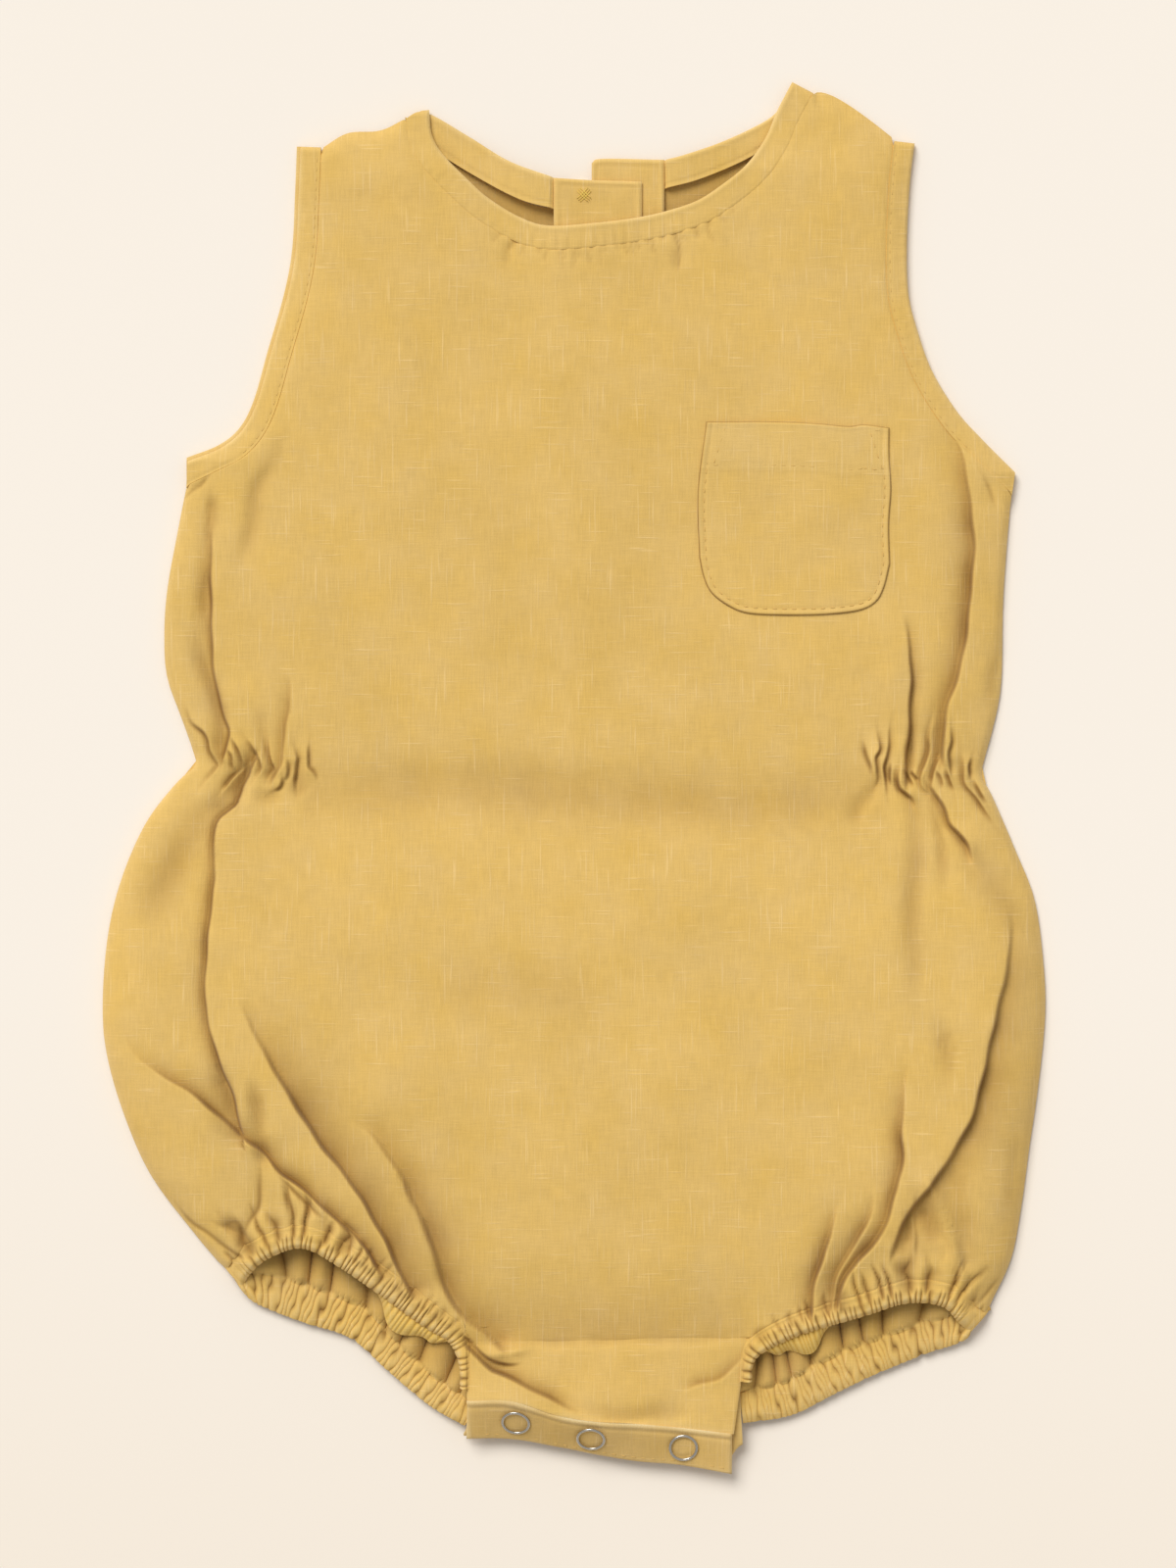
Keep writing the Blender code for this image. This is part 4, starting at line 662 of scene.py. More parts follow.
class NodeWriter:
    """Places and joins nodes in one tree."""

    def __init__(self, tree: bpy.types.NodeTree) -> None:
        """Keeps the tree."""
        self.tree = tree

    def feed(self, node: bpy.types.Node, values: dict[str, object]) -> None:
        """Gives a node's inputs their values, or joins them to the sockets that feed them."""
        for name, value in values.items():
            socket = node.inputs[int(name)] if name.isdigit() else node.inputs[name]
            if isinstance(value, Socket):
                self.tree.links.new(value, socket)
            else:
                socket.default_value = value

    def add(self, kind: str, values: dict[str, object] | None = None, **settings: object) -> bpy.types.Node:
        """A node with its settings, and with values or sockets for its inputs.

        Args:
            kind: the node's type.
            values: input name to a value or to the socket that feeds it.
            settings: the node's own properties.

        Returns:
            The node.
        """
        node = self.tree.nodes.new(kind)
        for name, value in settings.items():
            setattr(node, name, value)
        self.feed(node, values or {})
        return node

    def math(self, operation: str, one: object, other: object = 0.0) -> Socket:
        """The result of a sum on two values or sockets."""
        return self.add("ShaderNodeMath", {"0": one, "1": other}, operation=operation).outputs[0]

    def noise(self, threads: Socket, scale: tuple[float, float],
              detail: float = 1.0) -> Socket:
        """Noise stretched by these scales across and up the threads, in features per centimetre."""
        mapped = self.add("ShaderNodeMapping", {"Vector": threads, "Scale": (*scale, 1.0)})
        made = self.add("ShaderNodeTexNoise", {"Vector": mapped.outputs[0], "Scale": 1.0, "Detail": detail},
                        noise_dimensions="2D")
        return made.outputs["Fac"]

    def ramp(self, value: Socket, low: float, high: float) -> Socket:
        """0 below low, 1 above high."""
        return self.add("ShaderNodeMapRange", {"Value": value, "From Min": low, "From Max": high}).outputs[0]


class SlubWeave:
    """The shader group that all the cloth shares: threads both ways, slubs, washed patches, wear and painted
    shade.
    """

    tree: bpy.types.ShaderNodeTree | None = None

    @classmethod
    def group(cls) -> bpy.types.ShaderNodeTree:
        """The group, made once."""
        if cls.tree is None:
            cls.tree = cls.make()
        return cls.tree

    @staticmethod
    def make() -> bpy.types.ShaderNodeTree:
        """Makes the group."""
        tree = bpy.data.node_groups.new("slub weave", "ShaderNodeTree")
        for way, kind, names in (("INPUT", "Vector", ("Threads",)),
                                 ("INPUT", "Color", ("Cloth", "Worn", "Creased")),
                                 ("INPUT", "Float", ("Wear", "Contrast")),
                                 ("OUTPUT", "Color", ("Colour",)), ("OUTPUT", "Float", ("Height",))):
            for name in names:
                tree.interface.new_socket(name, in_out=way, socket_type=f"NodeSocket{kind}")
        write = NodeWriter(tree)
        given = write.add("NodeGroupInput").outputs
        threads = given["Threads"]
        warp = write.noise(threads, (21.0, 1.5), 3.0)
        weft = write.noise(threads, (1.5, 21.0), 3.0)
        slub_up = write.ramp(write.noise(threads, (14.0, 0.55)), 0.66, 0.78)
        slub_across = write.ramp(write.noise(threads, (0.7, 15.0)), 0.69, 0.80)
        patches = write.noise(threads, (0.35, 0.3), 4.0)
        clouds = write.noise(threads, (2.2, 2.2), 3.0)
        grain = write.noise(threads, (34.0, 34.0), 0.0)
        slubs = write.math("MAXIMUM", slub_up, slub_across)
        calmer = write.math("MULTIPLY", weft, 0.6)
        woven = write.math("ADD", warp, calmer)
        change: object = 0.0
        for part, middle, share in ((woven, 0.8, 0.17), (patches, 0.5, 0.16), (clouds, 0.5, 0.10),
                                    (grain, 0.5, 0.10), (slubs, 0.0, 0.09)):
            moved = write.math("MULTIPLY", write.math("SUBTRACT", part, middle), share)
            change = write.math("ADD", change, moved)
        change = write.math("ADD", write.math("MULTIPLY", change, given["Contrast"]), 1.0)
        tone_shift = write.math("MULTIPLY", write.noise(threads, (0.8, 0.6), 2.0), 0.11)
        paler = write.math("SUBTRACT", 1.055, write.math("ADD", tone_shift, write.math("MULTIPLY", slubs, 0.07)))
        toned = write.add("ShaderNodeHueSaturation",
                          {"Color": given["Cloth"], "Value": change, "Saturation": paler})
        rough = write.math("ADD", 0.45, write.math("MULTIPLY", grain, 0.9))
        rubbed = write.math("MAXIMUM", write.math("MULTIPLY", given["Wear"], rough), 0.0)
        # Below 0 the wear-and-shade value mixes in the painted shade colour: shade painted into creases,
        # hollows and openings.
        painted_shade_share = write.math("MAXIMUM", write.math("MULTIPLY", given["Wear"], -1.0), 0.0)
        deep = write.add("ShaderNodeMix", {"Factor": painted_shade_share, "6": toned.outputs[0], "7": given["Creased"]},
                         data_type="RGBA")
        worn = write.add("ShaderNodeMix", {"Factor": rubbed, "6": deep.outputs[2], "7": given["Worn"]},
                         data_type="RGBA")
        height = write.math("ADD", woven, write.math("MULTIPLY", slubs, 0.6))
        write.add("NodeGroupOutput", {"Colour": worn.outputs[2], "Height": height})
        return tree


class Finish:
    """A finish whose material is made once, under its own name."""

    name: str

    def material(self) -> bpy.types.Material:
        """The finish's material."""
        made = bpy.data.materials.get(self.name)
        if made is None:
            made = bpy.data.materials.new(self.name)
            made.use_nodes = True
            self.paint(NodeWriter(made.node_tree), made.node_tree.nodes["Principled BSDF"])
        return made

    def paint(self, write: NodeWriter, shader: bpy.types.Node) -> None:
        """Feeds the new material's shader."""
        raise NotImplementedError


@dataclass(frozen=True)
class ClothFinish(Finish):
    """Slubby linen and cotton, washed soft."""

    name: str
    colour: Triple
    # The pale colour of rubbed wear, which on the casings' rib tops also serves as painted highlight.
    worn: Triple = (0.86, 0.66, 0.33)
    # The painted shade colour, mixed in where shade falls in creases, hollows and openings.
    painted_shade: Triple = (0.17, 0.060, 0.003)
    roughness: float = 0.92
    contrast: float = 1.0
    relief: float = 0.28

    def paint(self, write: NodeWriter, shader: bpy.types.Node) -> None:
        """Feeds the new material's shader."""
        threads = write.add("ShaderNodeUVMap", uv_map="threads").outputs["UV"]
        wear_and_shade = write.add("ShaderNodeAttribute", attribute_name="wear_and_shade").outputs["Fac"]
        weave = write.add("ShaderNodeGroup", node_tree=SlubWeave.group())
        write.feed(weave, {"Threads": threads, "Wear": wear_and_shade, "Cloth": (*self.colour, 1),
                           "Worn": (*self.worn, 1), "Creased": (*self.painted_shade, 1), "Contrast": self.contrast})
        bump = write.add("ShaderNodeBump", {"Height": weave.outputs["Height"], "Strength": self.relief,
                                            "Distance": 0.0004})
        write.feed(shader, {"Base Color": weave.outputs["Colour"], "Normal": bump.outputs["Normal"],
                            "Roughness": self.roughness, "Specular IOR Level": 0.25, "Sheen Weight": 0.18,
                            "Sheen Roughness": 0.5, "Sheen Tint": (1.0, 0.9, 0.68, 1)})


@dataclass(frozen=True)
class HardFinish(Finish):
    """Metal, resin or thread: one colour with a fine unevenness in its tone and its gloss."""

    name: str
    colour: Triple
    roughness: float
    metallic: float = 0.0
    grain: float = 900.0
    uneven: float = 0.12

    def paint(self, write: NodeWriter, shader: bpy.types.Node) -> None:
        """Feeds the new material's shader."""
        spot = write.add("ShaderNodeTexCoord").outputs["Object"]
        grain = write.add("ShaderNodeTexNoise", {"Vector": spot, "Scale": self.grain, "Detail": 2.0})
        grain = grain.outputs["Fac"]
        tone = write.math("ADD", 1 - self.uneven / 2, write.math("MULTIPLY", grain, self.uneven))
        toned = write.add("ShaderNodeHueSaturation", {"Color": (*self.colour, 1), "Value": tone})
        gloss = write.math("ADD", self.roughness - 0.05, write.math("MULTIPLY", grain, 0.1))
        write.feed(shader, {"Base Color": toned.outputs[0], "Roughness": gloss, "Metallic": self.metallic})


@dataclass(frozen=True)
class PaperFinish(Finish):
    """Pale paper, darker towards its lower end with painted shade."""

    name: str = "pale paper"
    colour: Triple = (0.95, 0.887, 0.81)
    # The darker colour painted lower down as shade.
    below: Triple = (0.915, 0.835, 0.735)

    def paint(self, write: NodeWriter, shader: bpy.types.Node) -> None:
        """Feeds the new material's shader."""
        spot = write.add("ShaderNodeTexCoord").outputs["Object"]
        cloud = write.add("ShaderNodeTexNoise", {"Vector": spot, "Scale": 3.0, "Detail": 1.0}).outputs["Fac"]
        tone = write.math("ADD", 0.995, write.math("MULTIPLY", cloud, 0.02))
        down = write.math("MULTIPLY", write.add("ShaderNodeSeparateXYZ", {"Vector": spot}).outputs["Y"], -1.0)
        # Painted shade: the paper darkens towards its lower end.
        tone_shift = write.add("ShaderNodeMix", {"Factor": write.ramp(down, 0.06, 0.26), "6": (*self.colour, 1),
                                            "7": (*self.below, 1)}, data_type="RGBA")
        toned = write.add("ShaderNodeHueSaturation", {"Color": tone_shift.outputs[2], "Value": tone})
        write.feed(shader, {"Base Color": toned.outputs[0], "Roughness": 0.9, "Specular IOR Level": 0.2})


LINEN = ClothFinish("mustard slub linen", (0.745, 0.492, 0.150))
LINEN_CASING = ClothFinish("casing slub linen", (0.745, 0.488, 0.142))
LINEN_INNER = ClothFinish("unfaded slub linen", (0.76, 0.495, 0.115), worn=(0.88, 0.66, 0.26))
LINEN_BAND = ClothFinish("faded slub linen", (0.70, 0.462, 0.155), worn=(0.86, 0.70, 0.40))
THREAD = HardFinish("mustard sewing thread", (0.72, 0.48, 0.15), 0.8)
NICKEL = HardFinish("nickel plated steel", (0.56, 0.53, 0.48), 0.28, 1.0)
RESIN = HardFinish("amber resin", (0.80, 0.66, 0.42), 0.4, grain=300.0)


# ---------------- sheets


def placed(name: str, data: bpy.types.ID) -> bpy.types.Object:
    """A new object in the scene."""
    obj = bpy.data.objects.new(name, data)
    bpy.context.scene.collection.objects.link(obj)
    return obj


def finished(name: str, made: Working, finish: Finish) -> bpy.types.Object:
    """Turns a mesh under work into a smooth object of one finish."""
    mesh = bpy.data.meshes.new(name)
    made.to_mesh(mesh)
    made.free()
    mesh.materials.append(finish.material())
    mesh.shade_smooth()
    return placed(name, mesh)


@dataclass
class Sheet:
    """A piece of cloth made from a grid, with its outer face first and its thickness under it."""

    name: str
    columns: int
    rows: int
    thickness: float
    finish: ClothFinish = LINEN
    node: str | None = None
    finer: Callable[[Array, Array], Array] | None = None  # how often the grid is divided again, by the shares
    faces_up: float = 1.0  # the share across over which the outer face looks up

    def build(self, shape: Callable[[Array, Array], Laid]) -> bpy.types.Object:
        """Makes the piece.

        Args:
            shape: lays the sheet, from the shares across and up.

        Returns:
            The finished object, riding on the body.
        """
        made = bmesh.new()
        bmesh.ops.create_grid(made, x_segments=self.columns, y_segments=self.rows, size=0.5)
        self.divide(made)
        shares = self.shares(made)
        laid = shape(shares[:, 0], shares[:, 1])
        number = made.verts.layers.int.new("number")
        upward = shares[:, 0] <= self.faces_up
        for index, (vertex, point) in enumerate(zip(made.verts, laid.points * MM)):
            vertex.co = point
            vertex[number] = index
        made.normal_update()
        if sum(face.normal.z * face.calc_area() for face in made.faces if upward[face.verts[0][number]]) < 0:
            bmesh.ops.reverse_faces(made, faces=made.faces)
        self.trim(made)
        kept = np.array([vertex[number] for vertex in made.verts])
        made.verts.layers.int.remove(number)
        for edge in made.edges:
            edge.smooth = not edge.is_boundary
        obj = finished(self.name, made, self.finish)
        self.mark(obj.data, laid.threads[kept], laid.wear_and_shade[kept])
        thick = obj.modifiers.new("cloth thickness", "SOLIDIFY")
        thick.thickness = self.thickness * MM
        thick.offset = -1
        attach(obj, "root")
        if self.node:
            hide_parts(self.node)
        return obj

    @staticmethod
    def shares(made: Working) -> Array:
        """Each point's shares across and up, while the mesh is still the flat unit grid."""
        return np.clip(np.array([vertex.co.xy for vertex in made.verts]) + 0.5, 0, 1)

    def divide(self, made: Working) -> None:
        """Divides the flat grid again where the cloth is folded finely."""
        if self.finer is None:
            return
        wanted = self.finer(*self.shares(made).T)
        for again in range(1, int(wanted.max()) + 1):
            made.verts.index_update()
            chosen = wanted >= again
            edges = [edge for edge in made.edges if all(chosen[vertex.index] for vertex in edge.verts)]
            bmesh.ops.subdivide_edges(made, edges=edges, cuts=1, use_grid_fill=True)
            wanted = self.finer(*self.shares(made).T)

    def trim(self, made: Working) -> None:
        """Takes faces out before the thickness is made. Most pieces keep them all."""

    @staticmethod
    def mark(mesh: bpy.types.Mesh, threads: Array, wear_and_shade: Array) -> None:
        """Gives the mesh its thread positions in centimetres and its wear and painted shade."""
        corners = np.zeros(len(mesh.loops), int)
        mesh.loops.foreach_get("vertex_index", corners)
        layer = mesh.uv_layers.new(name="threads")
        layer.data.foreach_set("uv", (threads[corners] / 10).ravel())
        worn = mesh.attributes.new("wear_and_shade", "FLOAT", "POINT")
        worn.data.foreach_set("value", np.clip(wear_and_shade, -1, 1).astype(np.float32))


def rolled(height: Array, away: Array, radius: float, floor: Array | float) -> Array:
    """Rounds a height down to the floor over the last bit before an edge."""
    t = np.clip(away / radius, 0, 1)
    return floor + (height - floor) * np.sqrt(np.maximum(0, 1 - (1 - t) ** 2))


def hemmed(height: Array, away: Array, swells: Sequence[Triple], radius: float, drop: float) -> Array:
    """Gives a height the ridges and grooves of a sewn edge, and rounds it off there.

    Args:
        height: the height before.
        away: the distance from the edge.
        swells: the height, the distance from the edge and the width of each ridge or groove.
        radius: how far from the edge the rounding starts.
        drop: how far it comes down.

    Returns:
        The new height.
    """
    for high, at, width in swells:
        height = height + high * swell(away, at, width)
    return rolled(height, away, radius, height - drop)


def edge_wear(away: Array, plan: Array, width: float = 0.9, most: float = 0.8) -> Array:
    """Wear that is most at an edge, and uneven along it."""
    return most * np.exp(-away / width) * (0.65 + 0.35 * wobble(plan[:, 0], plan[:, 1], 5.0, 2.0))


def leg_rows(stations: Sequence[Station], first: str, last: str, count: int) -> Array:
    """Evenly spaced rows of a casing's edge, direction, width and layer, between two of its stations."""
    names = [station.name for station in stations]
    part = stations[names.index(first):names.index(last) + 1]
    return smooth([station[1:] for station in part], count)


def leg_seam(stations: Sequence[Station], first: str, last: str, count: int = 60, gap: float = 0.3) -> Array:
    """The plan line where a panel meets the casing."""
    rows = leg_rows(stations, first, last, count)
    lean = np.radians(rows[:, 2])
    return rows[:, :2] + (rows[:, 3] + gap)[:, None] * np.column_stack([np.cos(lean), np.sin(lean)])


@dataclass
class Gathers:
    """The gathers that leave one leg casing and run on over the front."""

    stations: Sequence[Station]
    ribs: int = 96
    height: float = 3.0

    def __post_init__(self) -> None:
        """Works out the seam in front, the reach of the gathers along it and its share of the casing."""
        front = leg_rows(self.stations, "front tab", "corner", 90)
        whole = leg_rows(self.stations, "front tab", "back tab", 400)
        self.seam = leg_seam(self.stations, "front tab", "corner", 90, 0.0)
        self.reach = np.maximum(0.3, front[:, 5])
        lengths = [np.hypot(*np.diff(rows[:, :2], axis=0).T).sum() for rows in (front, whole)]
        self.share = lengths[0] / lengths[1]

    def wave(self, ahead: Array, away: Array) -> Array:
        """The gathers' section by the number of ribs along the casing, from 0 in the creases to 1."""
        wide = ahead / 2.3 + 0.33 * np.sin(0.47 * ahead) + 0.16 * np.sin(1.31 * ahead)
        wide = wide + 0.10 * np.sin(0.45 * away + 0.8 * ahead) * ease(away, 0, 4)
        return np.abs(np.sin(np.pi * wide))

    def lobes(self, ahead: Array, away: Array, gather: Array) -> tuple[Array, Array]:
        """The height of the gathers at a distance from the seam, and how much shade is painted in their
        creases.
        """
        length = gather * (1.0 + 0.3 * np.sin(0.83 * ahead + 1) + 0.25 * np.sin(2.1 * ahead))
        fade = (1 - ease(away, 0.2 * length, 1.05 * length)) * np.clip(gather / 8, 0, 1)
        wave = self.wave(ahead, away)
        uneven = 0.8 + 0.2 * np.sin(0.37 * ahead + 2)
        return uneven * self.height * (wave**0.7 - 0.62) * fade, 0.8 * (1 - wave) ** 1.5 * fade**0.5

    def over(self, plan: Array) -> tuple[Array, Array]:
        """What the gathers and the seam's groove add to the front, and the shade painted in their creases."""
        level, painted_shade = np.zeros(len(plan)), np.zeros(len(plan))
        near = np.all((plan > self.seam.min(axis=0) - 22) & (plan < self.seam.max(axis=0) + 22), axis=1)
        away, share = distance_to(self.seam, plan[near])
        gather = np.interp(share, np.linspace(0, 1, len(self.reach)), self.reach)
        raised, dark = self.lobes(share * self.share * self.ribs, away, gather)
        loose = 0.4 * (1 - np.clip(gather / 8, 0, 1))
        level[near] = raised - 0.55 * swell(away, 0, 0.8) * loose - 0.6 * (1 - ease(away, 0.2, 0.7))
        # Shade painted in the gather creases and along the seam's groove.
        painted_shade[near] = np.maximum(dark, 0.45 * swell(away, 0, 0.7) * loose)
        return level, painted_shade


def armhole_seam(rows: Line, side: Line, inward: int, gap: float = 0.0, count: int = 60) -> Array:
    """The line inside the armhole binding, down to the side seam."""
    seam = moved_across(smooth(rows, count), inward * (ARMHOLE_BAND_WIDTH + gap))
    return even(np.vstack([seam[:-count // 9], [side[0]]]), count)


def side_edges(bottom: Array, top: Array) -> tuple[Array, Array]:
    """A panel's left and right edges, up its side seams and armholes, joined to its bottom and top."""
    edges = []
    for end, side, armhole, inward in ((0, SIDE_LEFT, ARMHOLE_LEFT, 1), (-1, SIDE_RIGHT, ARMHOLE_RIGHT, -1)):
        seam = armhole_seam(armhole, side, inward, 0.1)[::-1]
        edge = np.vstack([even(smooth(side, 120)[::-1], 101)[:-1], even(seam, 60)])
        edge[0], edge[-1] = bottom[end], top[end]
        edges.append(edge)
    return edges[0], edges[1]


def fan(seam: Array, count: int, reach: tuple[float, float], depth: float, seed: int, inward: int,
        width: float = 1.0, kind: Kind = CREASE, lean: float = 0.0) -> list[Fold]:
    """Gathers that leave a seam: creases or ridges of uneven length, close together.

    Args:
        seam: the plan line that they leave.
        count: how many there are.
        reach: the shortest and longest length.
        depth: how deep they are at the seam.
        seed: fixes their unevenness.
        inward: 1 where they leave to the left of the line.
        width: how wide each one is.
        kind: creases or ridges.
        lean: how far they all lean along the seam, in radians.

    Returns:
        The folds.
    """
    dice = random.Random(seed)
    ahead = np.gradient(seam, axis=0)
    ahead /= np.linalg.norm(ahead, axis=1)[:, None]
    folds = []
    for number in range(count):
        at = min(len(seam) - 1, int((number + dice.uniform(0.2, 0.8)) / count * len(seam)))
        turn = lean + dice.uniform(-0.28, 0.28)
        normal = inward * np.array([-ahead[at][1], ahead[at][0]])
        way = normal * math.cos(turn) + ahead[at] * math.sin(turn)
        far = dice.uniform(*reach) * (0.6 + 0.4 * dice.random())
        sway = ahead[at] * dice.uniform(-0.12, 0.12) * far
        line = [tuple(seam[at] + reach * way + bend * sway)
                for reach, bend in ((-0.8, 0), (0.5 * far, 1), (far, 0))]
        folds.append(Fold(f"gather {number}", kind, NORTH, line, width * dice.uniform(0.8, 1.3),
                          width * dice.uniform(0.8, 1.3), depth * dice.uniform(0.6, 1.1), 0.5, 1.0, 0.0))
    return folds


# ---------------- stitching


@dataclass
class Stitching:
    """Rows of machine stitches, made as one piece of thread."""

    name: str
    pitch: float = 3.0
    length: float = 1.6
    width: float = 0.28
    spots: list[tuple[Array, Array, float]] = field(default_factory=list)

    def row(self, points: Array) -> None:
        """Adds stitches along points in space, in millimetres."""
        far = np.concatenate([[0], np.cumsum(np.linalg.norm(np.diff(points, axis=0), axis=1))])
        count = max(1, int(far[-1] / self.pitch))
        at = (np.arange(count) + 0.5) * far[-1] / count
        middle = np.column_stack([np.interp(at, far, points[:, k]) for k in range(3)])
        ahead = np.column_stack([np.interp(at + 0.4, far, points[:, k]) for k in range(3)]) - middle
        for one, way in zip(middle, ahead):
            self.spots.append((one, way, self.length))

    def stitch(self, start: Triple, stop: Triple) -> None:
        """Adds one stitch between two points."""
        a, b = np.array(start), np.array(stop)
        self.spots.append(((a + b) / 2, b - a, float(np.linalg.norm(b - a))))

    def build(self, finish: HardFinish = THREAD) -> None:
        """Makes the thread piece, in one finish."""
        made = bmesh.new()
        for middle, ahead, length in self.spots:
            turn = Vector(ahead).to_track_quat("X", "Z").to_matrix().to_4x4()
            size = Matrix.Diagonal((length * MM, self.width * MM, 0.7 * self.width * MM, 1))
            place = Matrix.Translation(Vector(middle) * MM) @ turn @ size
            bmesh.ops.create_uvsphere(made, u_segments=6, v_segments=4, radius=0.5, matrix=place)
        obj = finished(self.name, made, finish)
        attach(obj, "root")


# ---------------- panels


@dataclass
class Panel:
    """One side of the garment, laid out between its four edges."""

    upper: UpperLayer
    across_spread: Line
    up_spread: Line

    def edges(self) -> tuple[Array, Array, Array, Array]:
        """The bottom, top, left and right edges in plan."""
        raise NotImplementedError

    def plan(self, across: Array, up: Array) -> tuple[Array, Array, Array]:
        """The plan, and how far each point is from the nearer side and from the nearer end."""
        bottom, top, left, right = self.edges()
        a, u = spread(across, self.across_spread), spread(up, self.up_spread)
        width = np.hypot(*(along(right, u) - along(left, u)).T)
        place = patch(bottom, top, left, right)(a, u)
        return place, np.minimum(a, 1 - a) * width, np.minimum(u, 1 - u) * PANEL_HIGH


@dataclass
class FrontPanel(Panel):
    """The front, from the shoulders to the crotch seam and the leg casings."""

    columns: int = 112
    rows: int = 134
    thickness: float = 0.7
    roll: float = 2.4
    lowest: float = 1.75
    leg_seam_ends: tuple[float, float] = (-179.4, -177.2)  # left and right, up the garment
    underarm: tuple[float, float] = (92.0, 89.0)
    neck_sides: tuple[float, float] = (-54.0, 77.0)
    shoulders_from: float = 150.0
    across_spread: Line = ((0, 0), (0.36, 0.25), (0.64, 0.75), (1, 1))
    up_spread: Line = ((0, 0), (0.26, 0.17), (0.38, 0.34), (0.56, 0.45), (0.68, 0.60), (1, 1))

    def edges(self) -> tuple[Array, Array, Array, Array]:
        """The bottom, top, left and right edges in plan."""
        neck = moved_across(smooth(NECKLINE, 60), -(NECK_BAND_WIDTH - 0.8))
        top = np.vstack([smooth(SHOULDER_LEFT, 12), neck[2:-2], smooth(SHOULDER_RIGHT, 12)])
        legs = []
        for stations, low in zip((LEG_LEFT, LEG_RIGHT), self.leg_seam_ends):
            seam = leg_seam(stations, "front tab", "corner")
            legs.append(seam[seam[:, 1] > low])
        bottom = np.vstack([legs[0][::-1], smooth(CROTCH_SEAM, 30)[1:-1], legs[1]])
        return even(bottom, 200), even(top, 200), *side_edges(bottom, top)

    def finer(self, across: Array, up: Array) -> Array:
        """Divides the grid again by the crisp folds and the gathers."""
        plan = self.plan(across, up)[0]
        wanted = np.zeros(len(plan), int)
        for fold in self.upper.field.folds:
            if fold.kind is STEP and fold.edge < 1.3 or fold.kind is CREASE:
                away = distance_to(smooth(fold.line, 22), plan)[0]
                wanted = np.maximum(wanted, (away < 3.6).astype(int) + (away < 1.9))
        for gathers in self.upper.gathers:
            away, share = distance_to(gathers.seam, plan)
            reach = np.interp(share, np.linspace(0, 1, len(gathers.reach)), gathers.reach)
            wanted = np.maximum(wanted, (away < reach + 4).astype(int) + (away < 0.8 * reach + 1))
        return wanted

    def shape(self, across: Array, up: Array) -> Laid:
        """Lays the panel."""
        plan, side_away, end_away = self.plan(across, up)
        folds, painted_shade = self.upper.field.bend(plan)
        for gathers in self.upper.gathers:
            level, dark = gathers.over(plan)
            folds, painted_shade = folds + level, np.maximum(painted_shade, dark)
        height = self.upper.draped(plan) + WALL_HALF + folds
        height = self.lowest + 0.7 * np.logaddexp(0, (height - self.lowest) / 0.7)
        body_side = plan[:, 1] < np.where(plan[:, 0] < 0, *self.underarm)
        side_floor = np.where(body_side, 0.85, height - 0.5)
        height = rolled(height, side_away, np.where(body_side, self.roll, 1.1), side_floor)
        beside = (plan[:, 0] < self.neck_sides[0]) | (plan[:, 0] > self.neck_sides[1])
        shoulder = (plan[:, 1] > self.shoulders_from) & beside
        end_floor = np.where(shoulder, 1.2, height)
        height = rolled(height, end_away, np.where(shoulder, 2.6, 0.8), end_floor)
        by_neck = plan[:, 1] > self.shoulders_from
        under = distance_to(smooth(NECKLINE, 60), plan[by_neck])[0]
        height[by_neck] -= 0.45 * (1 - ease(under, NECK_BAND_WIDTH - 0.3, NECK_BAND_WIDTH + 0.15))
        # Rubbed wear along the body's sides, less the shade painted in the folds and gathers.
        wear_and_shade = np.where(body_side, edge_wear(side_away, plan, 1.0, 0.35), 0.0) - painted_shade
        return Laid.over(plan, height, wear_and_shade)

    def build(self) -> None:
        """Makes the front."""
        sheet = Sheet("front_cloth", self.columns, self.rows, self.thickness, node="front_panel",
                      finer=self.finer)
        obj = sheet.build(self.shape)


@dataclass
class BackSheet(Sheet):
    """The back's cloth, with the slit of its centre opening."""

    def trim(self, made: Working) -> None:
        """Takes out the faces in the slit."""
        inside = []
        for face in made.faces:
            x, y, _ = face.calc_center_median() / MM
            if y > SLIT_BOTTOM and SLIT_LEFT + 0.05 < x < SLIT_RIGHT - 0.05:
                inside.append(face)
        bmesh.ops.delete(made, geom=inside, context="FACES")


